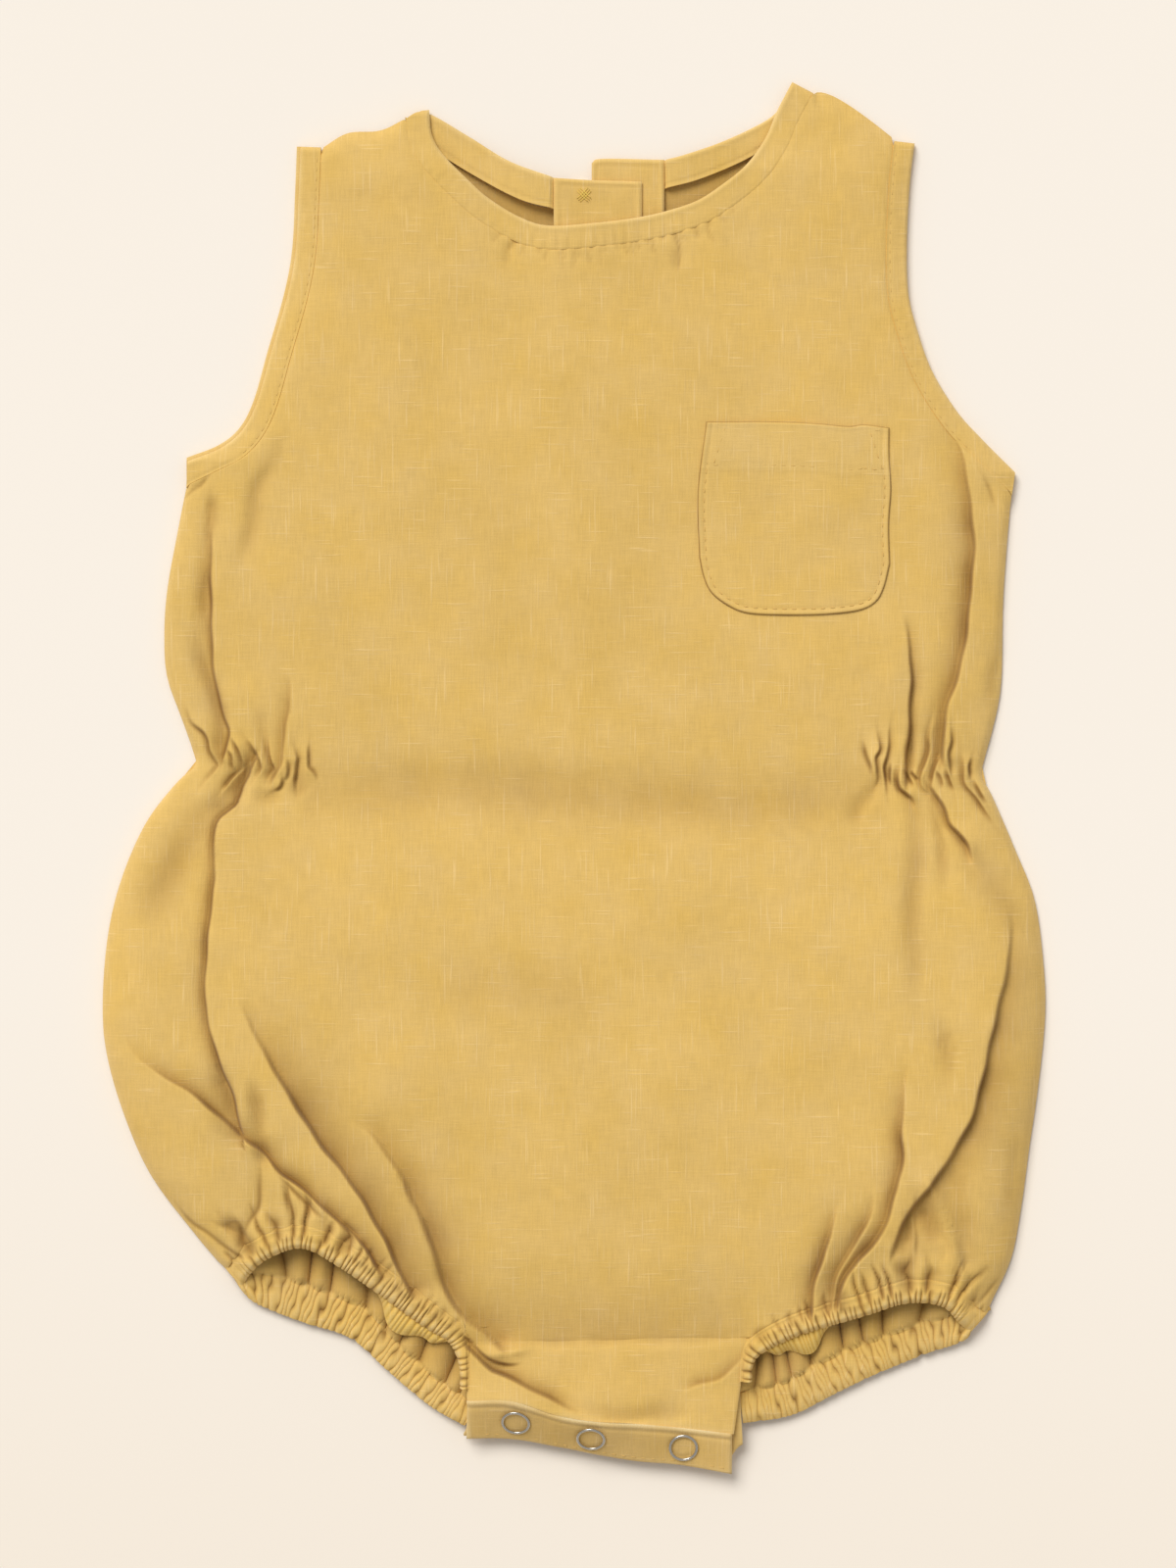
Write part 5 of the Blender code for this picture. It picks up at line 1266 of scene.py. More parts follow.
@dataclass
class BackPanel(Panel):
    """The back, flat on the surface, with its gathers at the legs lifted into the hollow."""

    columns: int = 170
    rows: int = 150
    thickness: float = 0.6
    top_face: float = 0.85
    across_spread: Line = ((0, 0), (0.3, 0.22), (0.7, 0.78), (1, 1))
    up_spread: Line = ((0, 0), (0.4, 0.2), (0.7, 0.86), (1, 1))

    def edges(self) -> tuple[Array, Array, Array, Array]:
        """The bottom, top, left and right edges in plan."""
        low_left = leg_seam(LEG_LEFT, "corner", "back low", 40)
        low_right = leg_seam(LEG_RIGHT, "corner", "back inner", 40)
        bottom = np.vstack([low_left[:-1], [(-35.4, -194.6)], smooth(BACK_CROTCH_SEAM, 30)[1:-1],
                            [(56.4, -193.4)], low_right[::-1][1:]])
        seam_left = moved_across(smooth(BACK_BAND_LEFT_SEAM, 20), -0.2)
        seam_right = moved_across(smooth(BACK_BAND_RIGHT_SEAM, 20), -0.2)
        dip = [(-5.6, 180.4), (4.0, 178.6), (13.5, 178.6), (21.0, 181.4), (28.8, 187.2)]
        top = np.vstack([smooth(BACK_SHOULDER_LEFT, 8), seam_left[seam_left[:, 0] < -8], dip, seam_right[1:],
                         smooth(BACK_SHOULDER_RIGHT, 8)])
        return even(bottom, 160), even(top, 200), *side_edges(bottom, top)

    def gathers(self) -> FoldField:
        """The tubes that stand up inside the leg openings."""
        left = leg_seam(LEG_LEFT, "corner", "back low", 80, 0.0)
        right = leg_seam(LEG_RIGHT, "corner", "back inner", 80, 0.0)
        folds = fan(left, 14, (16, 34), 4.0, 5, 1, 2.3, RIDGE, 0.35)
        folds += fan(right, 14, (16, 34), 4.0, 6, -1, 2.3, RIDGE, 0.2)
        return FoldField(folds)

    def shape(self, across: Array, up: Array) -> Laid:
        """Lays the panel."""
        plan, side_away, end_away = self.plan(across, up)
        self.open_slit(plan, across)
        x, y = plan.T
        away = np.minimum(side_away, end_away)
        lift = self.gathers().bend(plan)[0]
        room = np.maximum(0, self.upper.level(x, y) - 3.4)
        lift = np.clip(lift, -0.15, 6) * ease(away, 10.0, 22.0)
        height = self.top_face + np.minimum(lift, room)
        height += 0.10 * (1 + wobble(x, y, 16, 3.0)) * ease(away, 1.0, 8.0)
        # Shade painted inside the leg openings and under the neck facings.
        inside = 0.65 * (1 - ease(y, -160.0, -130.0)) + 0.3 * ease(y, 150.0, 165.0)
        return Laid.over(plan, height, -inside)

    def open_slit(self, plan: Array, across: Array) -> None:
        """Draws two neighbouring columns to the sides of the slit."""
        upper_part = plan[:, 1] > SLIT_BOTTOM - 1
        middle = upper_part & (np.abs(plan[:, 0] - (SLIT_LEFT + SLIT_RIGHT) / 2) < 1.6)
        column = int(np.median(np.round(across[middle] * self.columns)))
        number = np.round(across * self.columns).astype(int)
        for step in range(3):
            near = upper_part & (number == column - step)
            plan[near, 0] = np.minimum(plan[near, 0], SLIT_LEFT - 0.8 * step) if step else SLIT_LEFT
            near = upper_part & (number == column + 1 + step)
            plan[near, 0] = np.maximum(plan[near, 0], SLIT_RIGHT + 0.8 * step) if step else SLIT_RIGHT

    def build(self) -> None:
        """Makes the back."""
        sheet = BackSheet("back_cloth", self.columns, self.rows, self.thickness, node="back_panel")
        obj = sheet.build(self.shape)


# ---------------- leg casings


@dataclass
class LegCasing:
    """The gathered casing round one leg opening, over its elastic, with the gathers that leave it."""

    name: str
    gathers: Gathers
    upper: UpperLayer
    samples: int = 9
    rows: int = 28
    casing_share: float = 0.5  # of the rows, the rest are the gathers behind
    rib_height: float = 1.25
    back_ribs: float = 1.4  # how much higher the ribs are behind
    bead_height: float = 0.95
    edge_roll: float = 2.4
    back_gather_height: float = 4.6
    tube_ribs: float = 4.4  # ribs to one gather behind
    turned: tuple[str, str] = ("front inner turn", "front middle")
    turned_width: float = 5.6
    turned_ribs: float = 16.0

    def shape(self, across: Array, up: Array) -> Laid:
        """Lays the casing."""
        stations, ribs = self.gathers.stations, self.gathers.ribs
        count = ribs * self.samples + 1
        table = leg_rows(stations, "front tab", "back tab", count)
        station = np.round(across * (count - 1)).astype(int)
        x, y, lean, width, layer, gather = table[station].T
        lean, layer, gather = np.radians(lean), np.clip(layer, 0, 1), np.maximum(gather, 0.3)
        behind = 1 - ease(layer, 0.0, 0.9)
        pulled = np.clip(gather / 8, 0, 1)
        gone = np.clip((up - self.casing_share) / (1 - self.casing_share), 0, 1)
        beyond = gone * (1.2 + pulled + behind * (1.25 * gather + 0.1 - pulled))
        out = np.minimum(up / self.casing_share, 1) * width + beyond
        ahead = station / self.samples
        slower = np.cumsum(0.06 * (1 - np.clip(table[:, 4], 0, 1)))[station] / self.samples
        turn = ahead - slower + 0.30 * np.sin(1.7 * ahead) + 0.28 * np.sin(0.61 * ahead + 1)
        turn = turn + (0.05 + 0.10 * behind) * np.sin(0.8 * out + 2.3 * ahead)
        rib = np.abs(np.sin(np.pi * turn))
        fine = rib ** (0.42 + 0.18 * behind) - 0.8 + 0.08 * behind
        corner = 1 - 0.9 * np.exp(-((layer - 0.5) / 0.42) ** 4)
        share = out / width
        near = 1 - ease(share + 0.32 * pulled * layer, 0.8, 1.25)
        raised, dark = self.gathers.lobes(ahead, beyond, gather)
        rising = ease(share, 0.3, 0.8) * corner
        reach = out - 0.4 * fine * corner * np.exp(-out / 1.2)
        flat = np.column_stack([x + reach * np.cos(lean), y + reach * np.sin(lean)])
        folds, painted_shade = self.upper.field.bend(flat)
        bead = 0.42 - 0.12 * pulled * layer
        hump = 0.3 + self.bead_height * np.sqrt(np.maximum(0, 1 - ((share - bead) / (0.2 + bead)) ** 2))
        hump = hump * (1 - ease(share, 0.8, 1.0) * layer - ease(share, 1.0, 1.1) * (1 - layer))
        roll = np.clip(1 - share / 0.3, 0, 1) ** 2
        at_seam = 0.4 * swell(out, width, 0.8) * (1 - pulled)
        cloth = self.upper.draped(flat) + WALL_HALF
        strength = corner * (0.8 + 0.2 * np.sin(0.37 * ahead + 2) + 0.22 * behind * np.sin(2.9 * ahead))
        on_front = cloth + folds * ease(share, 0.35, 1.0) + hump - self.edge_roll * roll - 0.55 * at_seam
        on_front += strength * self.rib_height * fine * near + raised * rising
        on_front += 0.4 - 0.9 * ease(gone, 0.05, 1.0)
        room = np.maximum(0.3, self.upper.level(*flat.T) - 3.2)
        tubes = ahead / self.tube_ribs + 0.22 * np.sin(0.41 * ahead) + 0.035 * beyond
        tubes = np.abs(np.sin(np.pi * tubes)) ** 0.8
        past = ease(beyond, 0.2, 1.2)
        on_back = 1.2 + 1.1 * hump - 0.7 * roll
        on_back += strength * self.back_ribs * self.rib_height * fine * (1 - past)
        on_back += past * (self.back_gather_height * tubes * room / (room + 1.5) - 0.7)
        height = np.maximum(on_back + layer * (on_front - on_back), 0.95)
        # Rubbed pale on the rib tops near the free edge, which also stands in as painted highlight.
        wear_and_shade = 0.6 * np.clip(fine + 0.75, 0, 1) ** 3 * swell(share, 0.2, 0.28) * (0.35 + 0.65 * layer)
        # Shade painted inside the opening, deepest between the tubes.
        inside = past * (0.2 + 0.2 * ease(beyond, 1.5, 9) + 1.0 * np.clip(0.6 - tubes, 0, 0.5))
        # Shade painted in the rib troughs, the gather creases, the seam's groove and the folds.
        dark = np.maximum(dark * rising * layer, 0.95 * (1 - rib) ** (1.9 - 0.8 * behind) * near * corner)
        dark = np.maximum(dark, layer * np.maximum(0.45 * at_seam, painted_shade * ease(share, 0.5, 1.0)))
        dark = np.maximum(dark, inside * (1 - layer))
        return Laid.over(flat, height, wear_and_shade - dark)

    def turned_shape(self, across: Array, up: Array) -> Laid:
        """Lays the part of the casing's inner side that has rolled out into the opening."""
        count = 60
        table = leg_rows(self.gathers.stations, self.turned[0], self.turned[1], count)
        x, y, lean = along(table, across)[:, :3].T
        lean = np.radians(lean)
        ahead = across * self.turned_ribs
        fine = np.abs(np.sin(np.pi * (ahead + 0.3 * np.sin(1.3 * ahead)))) ** 0.7 - 0.7
        coarse = np.sin(0.8 * ahead + 1.1 * np.sin(0.35 * ahead))
        wide = self.turned_width * np.sin(np.pi * np.clip(across, 0, 1)) ** 0.8 * (1 + 0.30 * coarse)
        out = 1.6 - up * (1.6 + wide)
        flat = np.column_stack([x + out * np.cos(lean), y + out * np.sin(lean)])
        top = self.upper.level(x + 2 * np.cos(lean), y + 2 * np.sin(lean)) + 0.2
        height = top - 1.2 + 0.9 * np.sin(np.pi * np.clip(up * 0.9, 0, 1)) - 2.2 * up**2
        height += (0.75 * fine + 0.45 * coarse * up) * (1 - 0.45 * up)
        # Rib tops rubbed pale, also as painted highlight; shade painted in the troughs and where the facing
        # rolls back under the casing.
        wear_and_shade = 0.35 * np.clip(fine + 0.7, 0, 1) ** 3 - 0.7 * np.clip(-0.25 - fine, 0, 1)
        wear_and_shade -= 0.25 * (1 - up) ** 3
        return Laid.over(flat, height, wear_and_shade)

    def build(self) -> None:
        """Makes the casing with its gathers, and the inner side that has rolled out."""
        columns = self.gathers.ribs * self.samples
        sheet = Sheet(f"{self.name}_cloth", columns, self.rows, 0.6, LINEN_CASING, self.name, faces_up=0.4)
        obj = sheet.build(self.shape)
        inner = Sheet(f"{self.name}_turned_cloth", int(self.turned_ribs * 8), 14, 0.7, LINEN_INNER)
        turned = inner.build(self.turned_shape)


# ---------------- bands, tabs and pocket


@dataclass
class NeckBands:
    """The stitched neck edge in front, and behind it the facings, tabs and thread of the back opening."""

    upper: UpperLayer
    tab_outer_face: float = 3.1
    tab_inner_face: float = 4.6
    tabs_bottom: float = 142.0
    tabs_flat_from: float = 172.0
    facing_wide: float = 8.0
    tab_high: float = 50.0
    edge_long: float = 180.0

    def front(self) -> None:
        """Makes the front neck edge."""
        edge = smooth(NECKLINE, 160)
        plan_of = strip(moved_across(edge, -(NECK_BAND_WIDTH + 0.25)), edge)

        def shape(across: Array, up: Array) -> Laid:
            """Lays the edge over the layer, puckered where the front is gathered."""
            flat = plan_of(across, up)
            flat[:, 1] = np.minimum(flat[:, 1], np.interp(flat[:, 0], *NECK_POINTS))
            from_edge = (1 - up) * NECK_BAND_WIDTH
            face = self.upper.face(flat, WALL_HALF)
            gathered = ease(flat[:, 0], -20, -8) * (1 - ease(flat[:, 0], 30, 44))
            far = across * 165
            puckers = np.abs(np.sin(far * 0.83 + 0.6 * np.sin(far * 0.31))) - 0.6
            height = face[:, 2] + (0.10 + 0.30 * gathered) * puckers * swell(from_edge, 5.6, 3.4)
            height = hemmed(height, from_edge, ((0.18, 0.9, 0.9), (-0.10, 6.5, 0.6)), 0.9, 1.0)
            height = rolled(height, NECK_BAND_WIDTH - from_edge, 0.5, height - 0.35)
            height = rolled(height, np.minimum(across, 1 - across) * self.edge_long, 2.6, 1.2)
            return Laid.over(flat, height, edge_wear(from_edge, flat, 0.8, 0.7))
        obj = Sheet("neck_edge_cloth", 260, 16, 0.8, node="front_neck_band").build(shape)

    def back(self) -> None:
        """Makes the two facings of the back neck."""
        for side, outer, seam, start, stop in (
            ("left", BACK_BAND_LEFT, BACK_BAND_LEFT_SEAM, 1.2, self.tab_inner_face),
            ("right", BACK_BAND_RIGHT, BACK_BAND_RIGHT_SEAM, self.tab_outer_face, 1.2),
        ):
            outer_line, seam_line = smooth(outer, 60), smooth(seam, 60)
            plan_of = strip(moved_across(seam_line, -0.3), outer_line)

            def shape(across: Array, up: Array) -> Laid:
                """Lays one facing, sunk where it goes under the tabs."""
                flat = plan_of(across, up)
                height = start + (stop - start) * (3 - 2 * across) * across**2
                height = height + 0.35 + 0.10 * wobble(flat[:, 0], flat[:, 1], 6.0, 5.0)
                height -= 1.5 * ease(flat[:, 0], -7.0, -6.3) * (1 - ease(flat[:, 0], 28.9, 29.6))
                away = (1 - up) * self.facing_wide
                height = hemmed(height, away, ((0.2, 0.8, 0.8), (-0.25, 6.96, 0.4)), 0.8, 0.8)
                return Laid.over(flat, height, edge_wear(away, flat, 0.7, 0.6))
            sheet = Sheet(f"back_neck_facing_{side}_cloth", 60, 16, 0.9, node=f"back_neck_band_{side}")
            obj = sheet.build(shape)

    def tabs(self) -> None:
        """Makes the two overlapping tabs."""
        for name, top, face in (("outer", TAB_OUTER_TOP, self.tab_outer_face),
                                ("inner", TAB_INNER_TOP, self.tab_inner_face)):
            top_line = smooth(top, 40)
            low_line = np.column_stack([top_line[:, 0], np.full(40, self.tabs_bottom)])
            flat_face = face - self.tab_outer_face + 2.9
            wide = float(top_line[-1, 0] - top_line[0, 0])

            def shape(across: Array, up: Array) -> Laid:
                """Lays one tab, which sinks to the back below the facings."""
                flat = strip(low_line, top_line)(across, up)
                height = flat_face + (face - flat_face) * ease(flat[:, 1], self.tabs_flat_from, 179.0)
                away = np.minimum(np.minimum(across, 1 - across) * wide, (1 - up) * self.tab_high)
                height = height + 0.08 * wobble(flat[:, 0], flat[:, 1], 5.0, 7.0)
                height = hemmed(height, away, ((0.22, 0.9, 0.8), (-0.22, 2.2, 0.4)), 0.7, 0.8)
                # A faint painted shade over the whole tab.
                return Laid.over(flat, height, edge_wear(away, flat, 0.6, 0.5) - 0.04)
            obj = Sheet(f"button_tab_{name}_cloth", 36, 72, 1.2, node=f"button_tab_{name}").build(shape)

    def cross(self) -> None:
        """Makes the thread cross that shows over the button."""
        thread = Stitching("button_thread_cross", width=0.34)
        face = self.tab_inner_face + 0.15
        for number in range(3):
            off = (number - 1.0) * 0.5
            thread.stitch((1.4 + off, 181.9 - off, face), (5.4 + off, 185.9 - off, face + 0.1))
            thread.stitch((1.4 + off, 186.0 + off, face + 0.2), (5.4 + off, 182.0 + off, face + 0.3))
        thread.build(HardFinish("bright mustard thread", (0.83, 0.60, 0.12), 0.75))


@dataclass
class ArmholeBindings:
    """The bound edges of both armholes, front and back."""

    upper: UpperLayer
    lower_shows: float = 1.2

    def build(self, stitching: Stitching) -> None:
        """Makes the four bindings and the stitches along the front ones."""
        for side, rows, seam_side, inward, shows in (
            ("left", ARMHOLE_LEFT, SIDE_LEFT, 1, self.lower_shows),
            ("right", ARMHOLE_RIGHT, SIDE_RIGHT, -1, 0.0),
        ):
            edge = smooth(rows, 120)
            seam = armhole_seam(rows, seam_side, inward, 0.3, 120)
            seam[-1] -= (0.0, 0.7)

            def front_shape(across: Array, up: Array) -> Laid:
                """Lays the front binding on the layer, a little puckered."""
                flat = strip(seam, edge)(across, up)
                from_edge = (1 - up) * ARMHOLE_BAND_WIDTH
                height = self.upper.face(flat, WALL_HALF)[:, 2]
                far = across * 118
                height += 0.10 * (np.abs(np.sin(far * 0.9 + np.sin(far * 0.23))) - 0.6) * up
                height = hemmed(height, from_edge, ((0.18, 0.8, 0.8), (-0.22, 5.6, 0.5)), 0.9, 1.0)
                height = rolled(height, np.minimum(across * 115, 60.0), 1.6, 1.2)
                return Laid.over(flat, height, edge_wear(from_edge, flat, 0.8, 0.7))
            sheet = Sheet(f"front_armhole_{side}_cloth", 160, 14, 0.8, node=f"front_armhole_band_{side}")
            obj = sheet.build(front_shape)
            under_edge = moved_across(edge, -inward * shows)

            def back_shape(across: Array, up: Array) -> Laid:
                """Lays the back binding flat on the surface."""
                flat = strip(seam, under_edge)(across, up)
                from_edge = (1 - up) * ARMHOLE_BAND_WIDTH
                height = rolled(np.full(len(flat), 1.15), from_edge, 0.8, 0.75)
                return Laid.over(flat, height, edge_wear(from_edge, flat, 0.8, 0.6))
            sheet = Sheet(f"back_armhole_{side}_cloth", 80, 8, 0.7, node=f"back_armhole_band_{side}")
            obj = sheet.build(back_shape)
            line = moved_across(edge, inward * 5.6)[3:-16]
            stitching.row(self.upper.face(line, WALL_HALF - 0.12))


@dataclass
class ChestPocket:
    """The patch pocket with rounded lower corners, a hem at its top and stitched corner triangles."""

    upper: UpperLayer
    cells: int = 84
    hem_depth: float = 15.3
    spread: Line = ((0, 0), (0.22, 0.07), (0.78, 0.93), (1, 1))

    def outline(self) -> tuple[Array, Array, Array, Array]:
        """The bottom, top, left and right edges in plan."""
        left = [POCKET_BOTTOM[0], (39.2, 90.0), POCKET_TOP[0]]
        right = [POCKET_BOTTOM[-1], (99.5, 80.0), (100.2, 91.0), (99.6, 101.0), POCKET_TOP[-1]]
        return smooth(POCKET_BOTTOM, 80), smooth(POCKET_TOP, 40), smooth(left, 40), smooth(right, 40)

    def shape(self, across: Array, up: Array) -> Laid:
        """Lays the pocket."""
        bottom, top, left, right = self.outline()
        plan = patch(bottom, top, left, right)(spread(across, self.spread), spread(up, self.spread))
        sewn = np.vstack([left[::-1], bottom[1:], right[1:]])
        away, from_top = distance_to(sewn, plan)[0], distance_to(top, plan)[0]
        rim = np.minimum(away, from_top)
        hem = 1 - ease(from_top, self.hem_depth - 0.8, self.hem_depth + 0.4)
        face = self.upper.face(plan, WALL_HALF)
        rise = 0.75 + 0.12 * swell(away, 0.8, 0.8) - 0.16 * swell(away, 2.1, 0.6)
        rise += 0.22 * hem
        rise -= 0.16 * swell(from_top, self.hem_depth - 1.6, 0.6)
        rise += 0.12 * swell(from_top, 0.8, 0.8)
        rise += 0.16 * wobble(plan[:, 0], plan[:, 1], 9.0, 6.0) * ease(away, 2.0, 8.0)
        rise += 0.5 * ease(away, 3.0, 18.0) * (1 - ease(from_top, 0.0, 20.0))
        height = face[:, 2] + rolled(rise, rim, 0.7, 0.12)
        wear_and_shade = edge_wear(rim, plan, 0.7, 0.3) + 0.10 * hem
        # A thin line of painted shade along the pocket's outline.
        return Laid.over(plan, height, wear_and_shade - 0.95 * swell(rim, 0, 0.42))

    def build(self, stitching: Stitching) -> None:
        """Makes the pocket and its stitches."""
        obj = Sheet("chest_pocket_cloth", self.cells, self.cells, 0.7, node="chest_pocket").build(self.shape)
        bottom, top, left, right = self.outline()
        sewn = even(np.vstack([left[::-1], bottom[1:], right[1:]]), 260)
        self.sew(stitching, moved_across(sewn, 2.1)[3:-3], 0.75)
        hem = moved_across(top, -(self.hem_depth - 1.6))
        self.sew(stitching, hem[1:-1], 0.9)
        for corner, way in ((top[0], 1), (top[-1], -1)):
            triangle = [corner + np.array([way * 2.1, -0.8]), corner + np.array([way * 6.2, -1.0]),
                        corner + np.array([way * 2.1, -14.0])]
            self.sew(stitching, even(np.array(triangle), 24), 1.05)

    def sew(self, stitching: Stitching, line: Array, rise: float) -> None:
        """Adds a row of stitches along a plan line on the pocket."""
        stitching.row(self.upper.face(line, WALL_HALF + rise))


@dataclass
class Crotch:
    """The front tab over its ridge, the snap band, and the back tab beneath them."""

    upper: UpperLayer
    ring_reach: float = 4.7
    tab_shows: float = 3.4
    tab_wide: float = 84.0
    band_wide: float = 83.0
    band_high: float = 13.0
    hem_stitches: float = 0.14  # the share of the way up the band

    def lines(self) -> tuple[Array, Array, Array]:
        """The ridge, the hem and the seam in plan."""
        rows = smooth(CROTCH, 120)
        return even(rows[:, (0, 1)], 60), even(rows[:, (0, 3)], 60), smooth(CROTCH_SEAM, 60)

    def build(self, stitching: Stitching) -> None:
        """Makes the three pieces and their stitches."""
        self.front_tab()
        self.band(stitching)
        self.back_tab()

    def front_tab(self) -> None:
        """Makes the tab between the crotch seam and the ridge."""
        ridge, _, seam = self.lines()
        top = moved_across(seam, 1.2)
        top[-1] += (3.2, 0.0)
        left, right = (smooth([*side[:0:-1], corner], 30)
                       for side, corner in ((TAB_LEFT, top[0]), (TAB_RIGHT, top[-1])))
        plan_of = patch(moved_across(ridge, 0.15), top, left, right)

        def shape(across: Array, up: Array) -> Laid:
            """Lays the tab with its folds."""
            flat = plan_of(across, up)
            side = np.minimum(across, 1 - across) * self.tab_wide
            folds, painted_shade = self.upper.field.bend(flat)
            under = (1 - up) * 23 - 1.2
            height = self.upper.face(flat, WALL_HALF)[:, 2] + folds
            height += 0.12 * wobble(flat[:, 0], flat[:, 1], 5.0, 8.0)
            height = rolled(height, side, 0.8, height - 0.6)
            height -= 0.3 * (1 - ease(under, -0.9, 0.1))
            # Shade painted in the folds, and a faint painted shade over the whole tab.
            wear_and_shade = edge_wear(up * 22, flat, 0.9, 0.5) - np.maximum(painted_shade, 0.05)
            return Laid.over(flat, height, wear_and_shade)
        obj = Sheet("crotch_tab_cloth", 170, 48, 0.8, node="front_crotch_tab").build(shape)

    def band(self, stitching: Stitching) -> None:
        """Makes the snap band between the ridge and the hem."""
        ridge, hem, _ = self.lines()
        plan_of = strip(hem, moved_across(ridge, 0.1))

        def shape(across: Array, up: Array) -> Laid:
            """Lays the band, pressed in round the snaps."""
            flat = plan_of(across, up)
            from_ridge = (1 - up) * self.band_high
            out = WALL_HALF + 0.12 * wobble(flat[:, 0], flat[:, 1], 4.0, 3.0)
            out = out + 0.45 * swell(from_ridge, 0.7, 0.7) - 0.25 * swell(from_ridge, 2.2, 0.5)
            for x, y in SNAPS:
                ring = np.hypot(flat[:, 0] - x, (flat[:, 1] - y) * 1.25)
                out = out - 0.30 * swell(ring, self.ring_reach - 0.5, 1.0)
            away = np.minimum(np.minimum(across, 1 - across) * self.band_wide, up * self.band_high)
            points = self.upper.face(flat, 0.0)
            lifted = self.upper.face(flat, 1.0) - points
            points = points + lifted * rolled(out, away, 0.9, out - 1.0)[:, None]
            wear_and_shade = np.maximum(edge_wear(from_ridge, flat, 0.9, 1.0), edge_wear(away, flat, 0.8, 0.6))
            return Laid(points, flat, wear_and_shade)
        obj = Sheet("snap_band_cloth", 150, 30, 1.0, LINEN_BAND, "snap_band").build(shape)
        line = strip(hem, ridge)(np.linspace(0.02, 0.98, 80), np.full(80, self.hem_stitches))
        stitching.row(self.upper.face(line, WALL_HALF + 0.02))

    def back_tab(self) -> None:
        """Makes the tab that carries the snaps' other halves."""
        _, hem, _ = self.lines()
        ahead = np.linspace(0, 1, 60)
        hem = hem + np.column_stack([self.tab_shows * ahead, 9.0 * ease(ahead, 0.92, 1.0)])
        seam = smooth([(x, y - 1.2) for x, y in BACK_CROTCH_SEAM[1:-1]], 60)

        def shape(across: Array, up: Array) -> Laid:
            """Lays the tab under the front one, down to the surface at its seam."""
            flat = strip(hem, seam)(across, up)
            low = np.column_stack([flat, np.full(len(flat), 0.6)])
            high = self.upper.face(flat, -TABS_APART)
            share = np.minimum(1, (1 - up) / 0.5)
            share = (share**2 * (3 - 2 * share))[:, None]
            points = low + (high - low) * share
            step = self.upper.face(flat, 1 - TABS_APART) - high
            points = points + 0.5 * (step * share + np.array([0, 0, 1.0]) * (1 - share))
            away = np.minimum(np.minimum(across, 1 - across) * self.tab_wide, up * 30)
            points[:, 2] = np.maximum(rolled(points[:, 2], away, 0.9, points[:, 2] - 0.6), 0.95)
            return Laid(points, flat, edge_wear(away, flat, 0.8, 0.6))
        obj = Sheet("back_crotch_cloth", 80, 44, 0.9, node="back_crotch_tab").build(shape)


# ---------------- snaps


@dataclass
class RingSnaps:
    """Three snaps with open rings on the band, closed studs between the tabs and rings behind."""

    upper: UpperLayer
    radius: float = 4.2
    wire: float = 0.45
    stud_radius: float = 4.0
    turns: int = 56

    def place(self, at: tuple[float, float], out: float) -> Matrix:
        """The matrix that stands a round piece on the band at a plan point."""
        spot = np.array([at])
        low, high = (self.upper.face(spot, reach)[0] for reach in (out, out + 1.0))
        turn = Vector(high - low).to_track_quat("Z", "Y").to_matrix().to_4x4()
        return Matrix.Translation(Vector(low) * MM) @ turn

    def ring(self, name: str, at: tuple[float, float], out: float) -> None:
        """Makes one open ring with a rounded section.

        Args:
            name: the CAD node that it stands for.
            at: its plan point.
            out: how far from the middle of the band it is.
        """
        made = bmesh.new()
        bmesh.ops.create_circle(made, segments=14, radius=self.wire * MM)
        bmesh.ops.scale(made, vec=(1.0, 0.85, 1.0), verts=made.verts)
        bmesh.ops.rotate(made, matrix=Matrix.Rotation(math.pi / 2, 3, "X"), verts=made.verts)
        bmesh.ops.translate(made, vec=(self.radius * MM, 0, 0), verts=made.verts)
        bmesh.ops.spin(made, geom=made.verts[:] + made.edges[:], axis=(0, 0, 1), cent=(0, 0, 0),
                       angle=2 * math.pi, steps=self.turns, use_merge=True)
        bmesh.ops.remove_doubles(made, verts=made.verts, dist=1e-6)
        bmesh.ops.recalc_face_normals(made, faces=made.faces)
        bmesh.ops.transform(made, matrix=self.place(at, out), verts=made.verts)
        self.place_metal(made, name)

    def stud(self, name: str, at: tuple[float, float]) -> None:
        """Makes one closed stud, with its edge bevelled."""
        made = bmesh.new()
        bmesh.ops.create_cone(made, cap_ends=True, segments=32, radius1=self.stud_radius * MM,
                              radius2=self.stud_radius * MM, depth=0.8 * MM)
        bmesh.ops.bevel(made, geom=made.edges[:], offset=0.2 * MM, segments=2, affect="EDGES", profile=0.5,
                        material=-1)
        bmesh.ops.transform(made, matrix=self.place(at, -TABS_APART / 2), verts=made.verts)
        self.place_metal(made, name)

    @staticmethod
    def place_metal(made: Working, node: str) -> None:
        """Turns a mesh under work into the metal piece that stands for a node."""
        obj = finished(f"{node}_metal", made, NICKEL)
        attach(obj, "root")
        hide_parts(node)

    def build(self) -> None:
        """Makes all the snaps."""
        skin = WALL_HALF + 0.15 + self.wire * 0.5
        for number, at in enumerate(SNAPS, 1):
            self.ring(f"snap_front_ring_{number}", at, skin)
            self.stud(f"snap_stud_{number}", at)
            self.ring(f"snap_back_ring_{number}", at, -TABS_APART - skin - 0.2)


# ---------------- studio


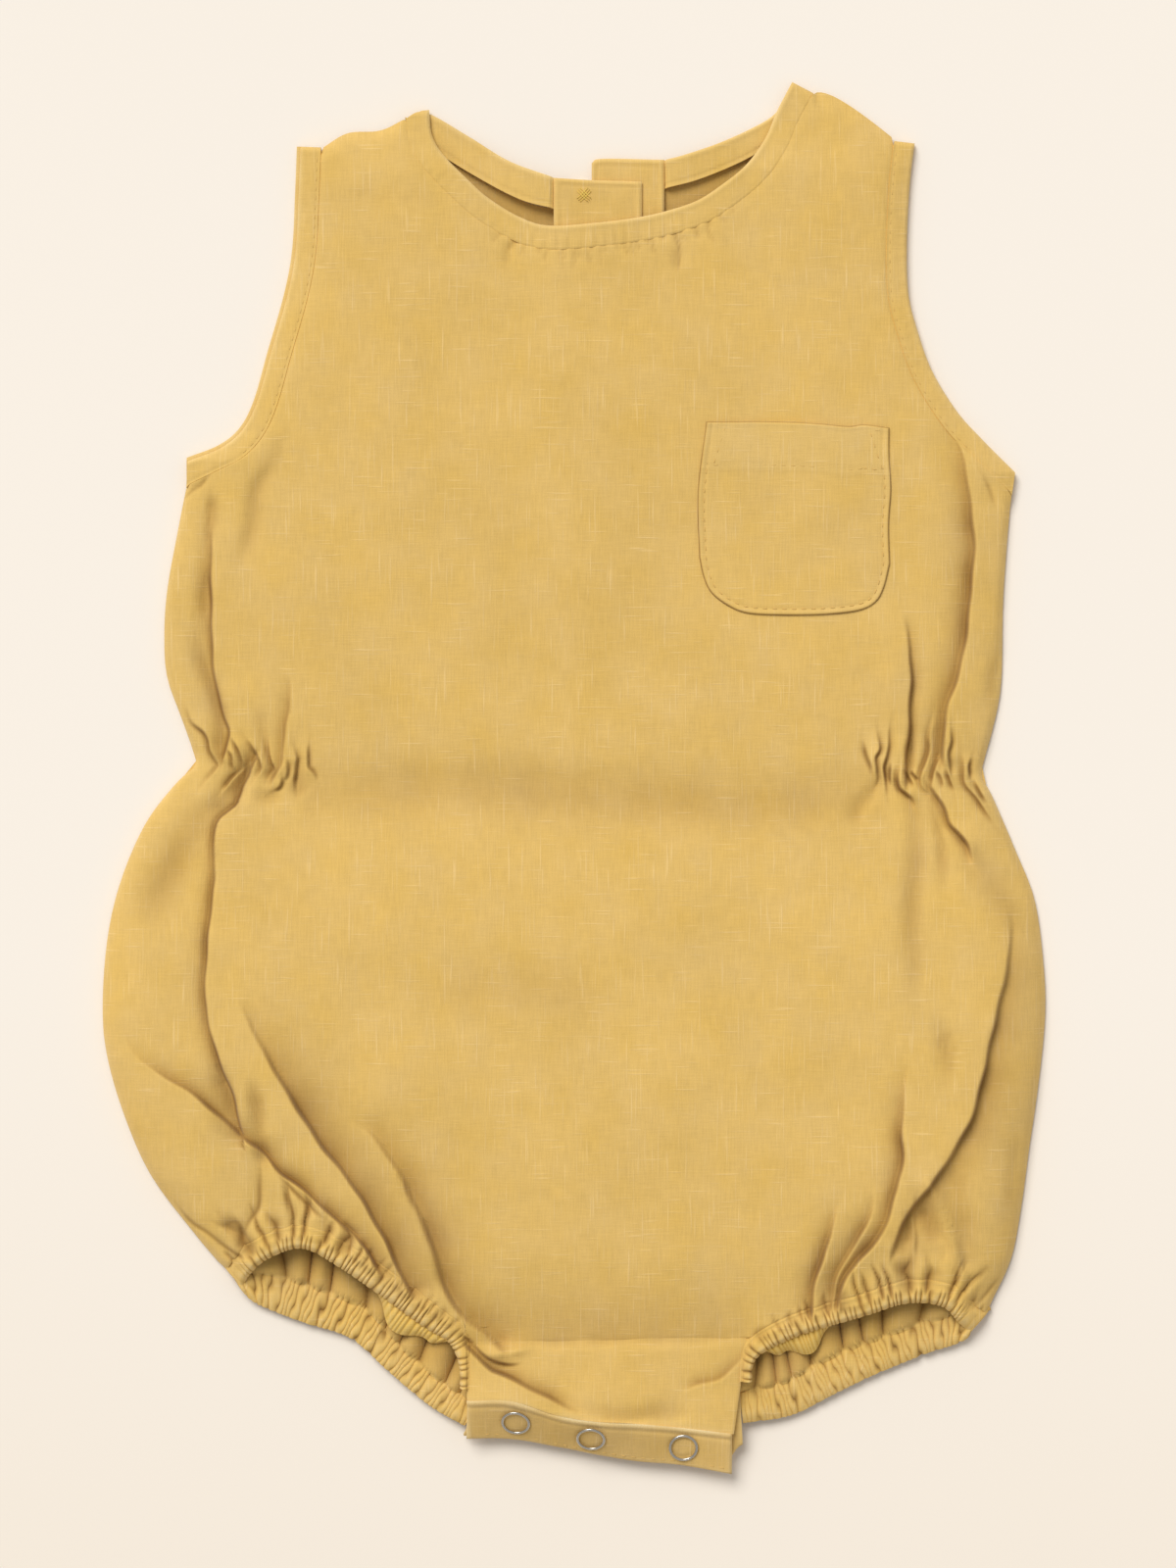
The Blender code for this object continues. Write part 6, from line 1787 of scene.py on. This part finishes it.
@dataclass
class Studio:
    """A pale floor, soft light and a camera straight above."""

    centre: tuple[float, float] = (4.65, -1.86)
    height: float = 1.5
    view_high: float = 0.496
    floor_finish: Finish = PaperFinish()

    def floor(self) -> None:
        """Makes the floor."""
        made = bmesh.new()
        bmesh.ops.create_grid(made, x_segments=1, y_segments=1, size=3.0)
        bmesh.ops.translate(made, vec=(0, 0, -0.0003), verts=made.verts)
        obj = finished("floor", made, self.floor_finish)

    @staticmethod
    def light(name: str, place: Triple, spread: float, power: float, colour: Triple) -> None:
        """Makes a soft far light that faces the romper, as wide as this many degrees."""
        lamp = bpy.data.lights.new(name, "SUN")
        lamp.angle, lamp.energy, lamp.color = math.radians(spread), power, colour
        obj = placed(name, lamp)
        obj.location = place
        obj.rotation_euler = (-Vector(place)).to_track_quat("-Z", "Y").to_euler()

    def build(self) -> None:
        """Makes the floor, the lights, the sky and the camera."""
        self.floor()
        self.light("broad window light", (-0.45, 0.78, 1.0), 34.0, 2.27, (1.0, 0.985, 0.955))
        world = bpy.data.worlds.new("pale room")
        world.use_nodes = True
        sky = world.node_tree.nodes["Background"]
        sky.inputs["Color"].default_value = (1.0, 0.98, 0.95, 1)
        sky.inputs["Strength"].default_value = 0.46
        scene = bpy.context.scene
        scene.world = world
        scene.view_settings.view_transform = "Standard"
        scene.view_settings.look = "None"
        camera = bpy.data.cameras.new("camera above")
        camera.sensor_fit = "VERTICAL"
        camera.sensor_height = 36.0
        camera.lens = 36.0 * self.height / self.view_high
        camera.clip_end = 20.0
        scene.camera = placed("camera above", camera)
        scene.camera.location = (self.centre[0] * MM, self.centre[1] * MM, self.height)


# ---------------- the romper


def waist_creases() -> list[Fold]:
    """The laps that the waist elastic makes at both sides."""
    return [Fold("waist crease", STEP, rise, line, low, low + 0.9, depth, 0.35, 0.15, 0.15)
            for rise, low, depth, line in WAIST_LAPS]


def neck_gathers() -> list[Fold]:
    """The small gathers under the front neck edge."""
    seam = moved_across(smooth(NECKLINE, 160), -NECK_BAND_WIDTH)
    return fan(seam[46:116], 30, (2.5, 9), 0.45, 31, -1, 0.8)


def main() -> None:
    """Builds the romper piece by piece."""
    logging.basicConfig(level=logging.INFO, format="%(message)s")
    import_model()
    Studio().build()
    folds = [*MAIN_FOLDS, *CROTCH_FOLDS, *waist_creases(), *neck_gathers()]
    left, right = Gathers(LEG_LEFT), Gathers(LEG_RIGHT, ribs=86)
    upper = UpperLayer(field=FoldField(folds), gathers=(left, right))
    stitching = Stitching("seam_stitches")
    neck = NeckBands(upper)
    steps: tuple[tuple[str, Callable[[], None]], ...] = (
        ("front", FrontPanel(upper).build),
        ("back", BackPanel(upper).build),
        ("left leg casing", LegCasing("leg_casing_left", left, upper).build),
        ("right leg casing", LegCasing("leg_casing_right", right, upper).build),
        ("front neck edge", neck.front),
        ("back neck facings", neck.back),
        ("button tabs", neck.tabs),
        ("thread cross", neck.cross),
        ("armhole bindings", lambda: ArmholeBindings(upper).build(stitching)),
        ("chest pocket", lambda: ChestPocket(upper).build(stitching)),
        ("crotch", lambda: Crotch(upper).build(stitching)),
        ("snaps", RingSnaps(upper).build),
        ("stitches", stitching.build),
    )
    for name, build in steps:
        build()
        LOG.info("built %s", name)
    for node, finish in (("neck_button", RESIN), ("neck_button_loop", THREAD)):
        for slot in bpy.data.objects[node].material_slots:
            slot.material = finish.material()


if __name__ == "__main__":
    main()
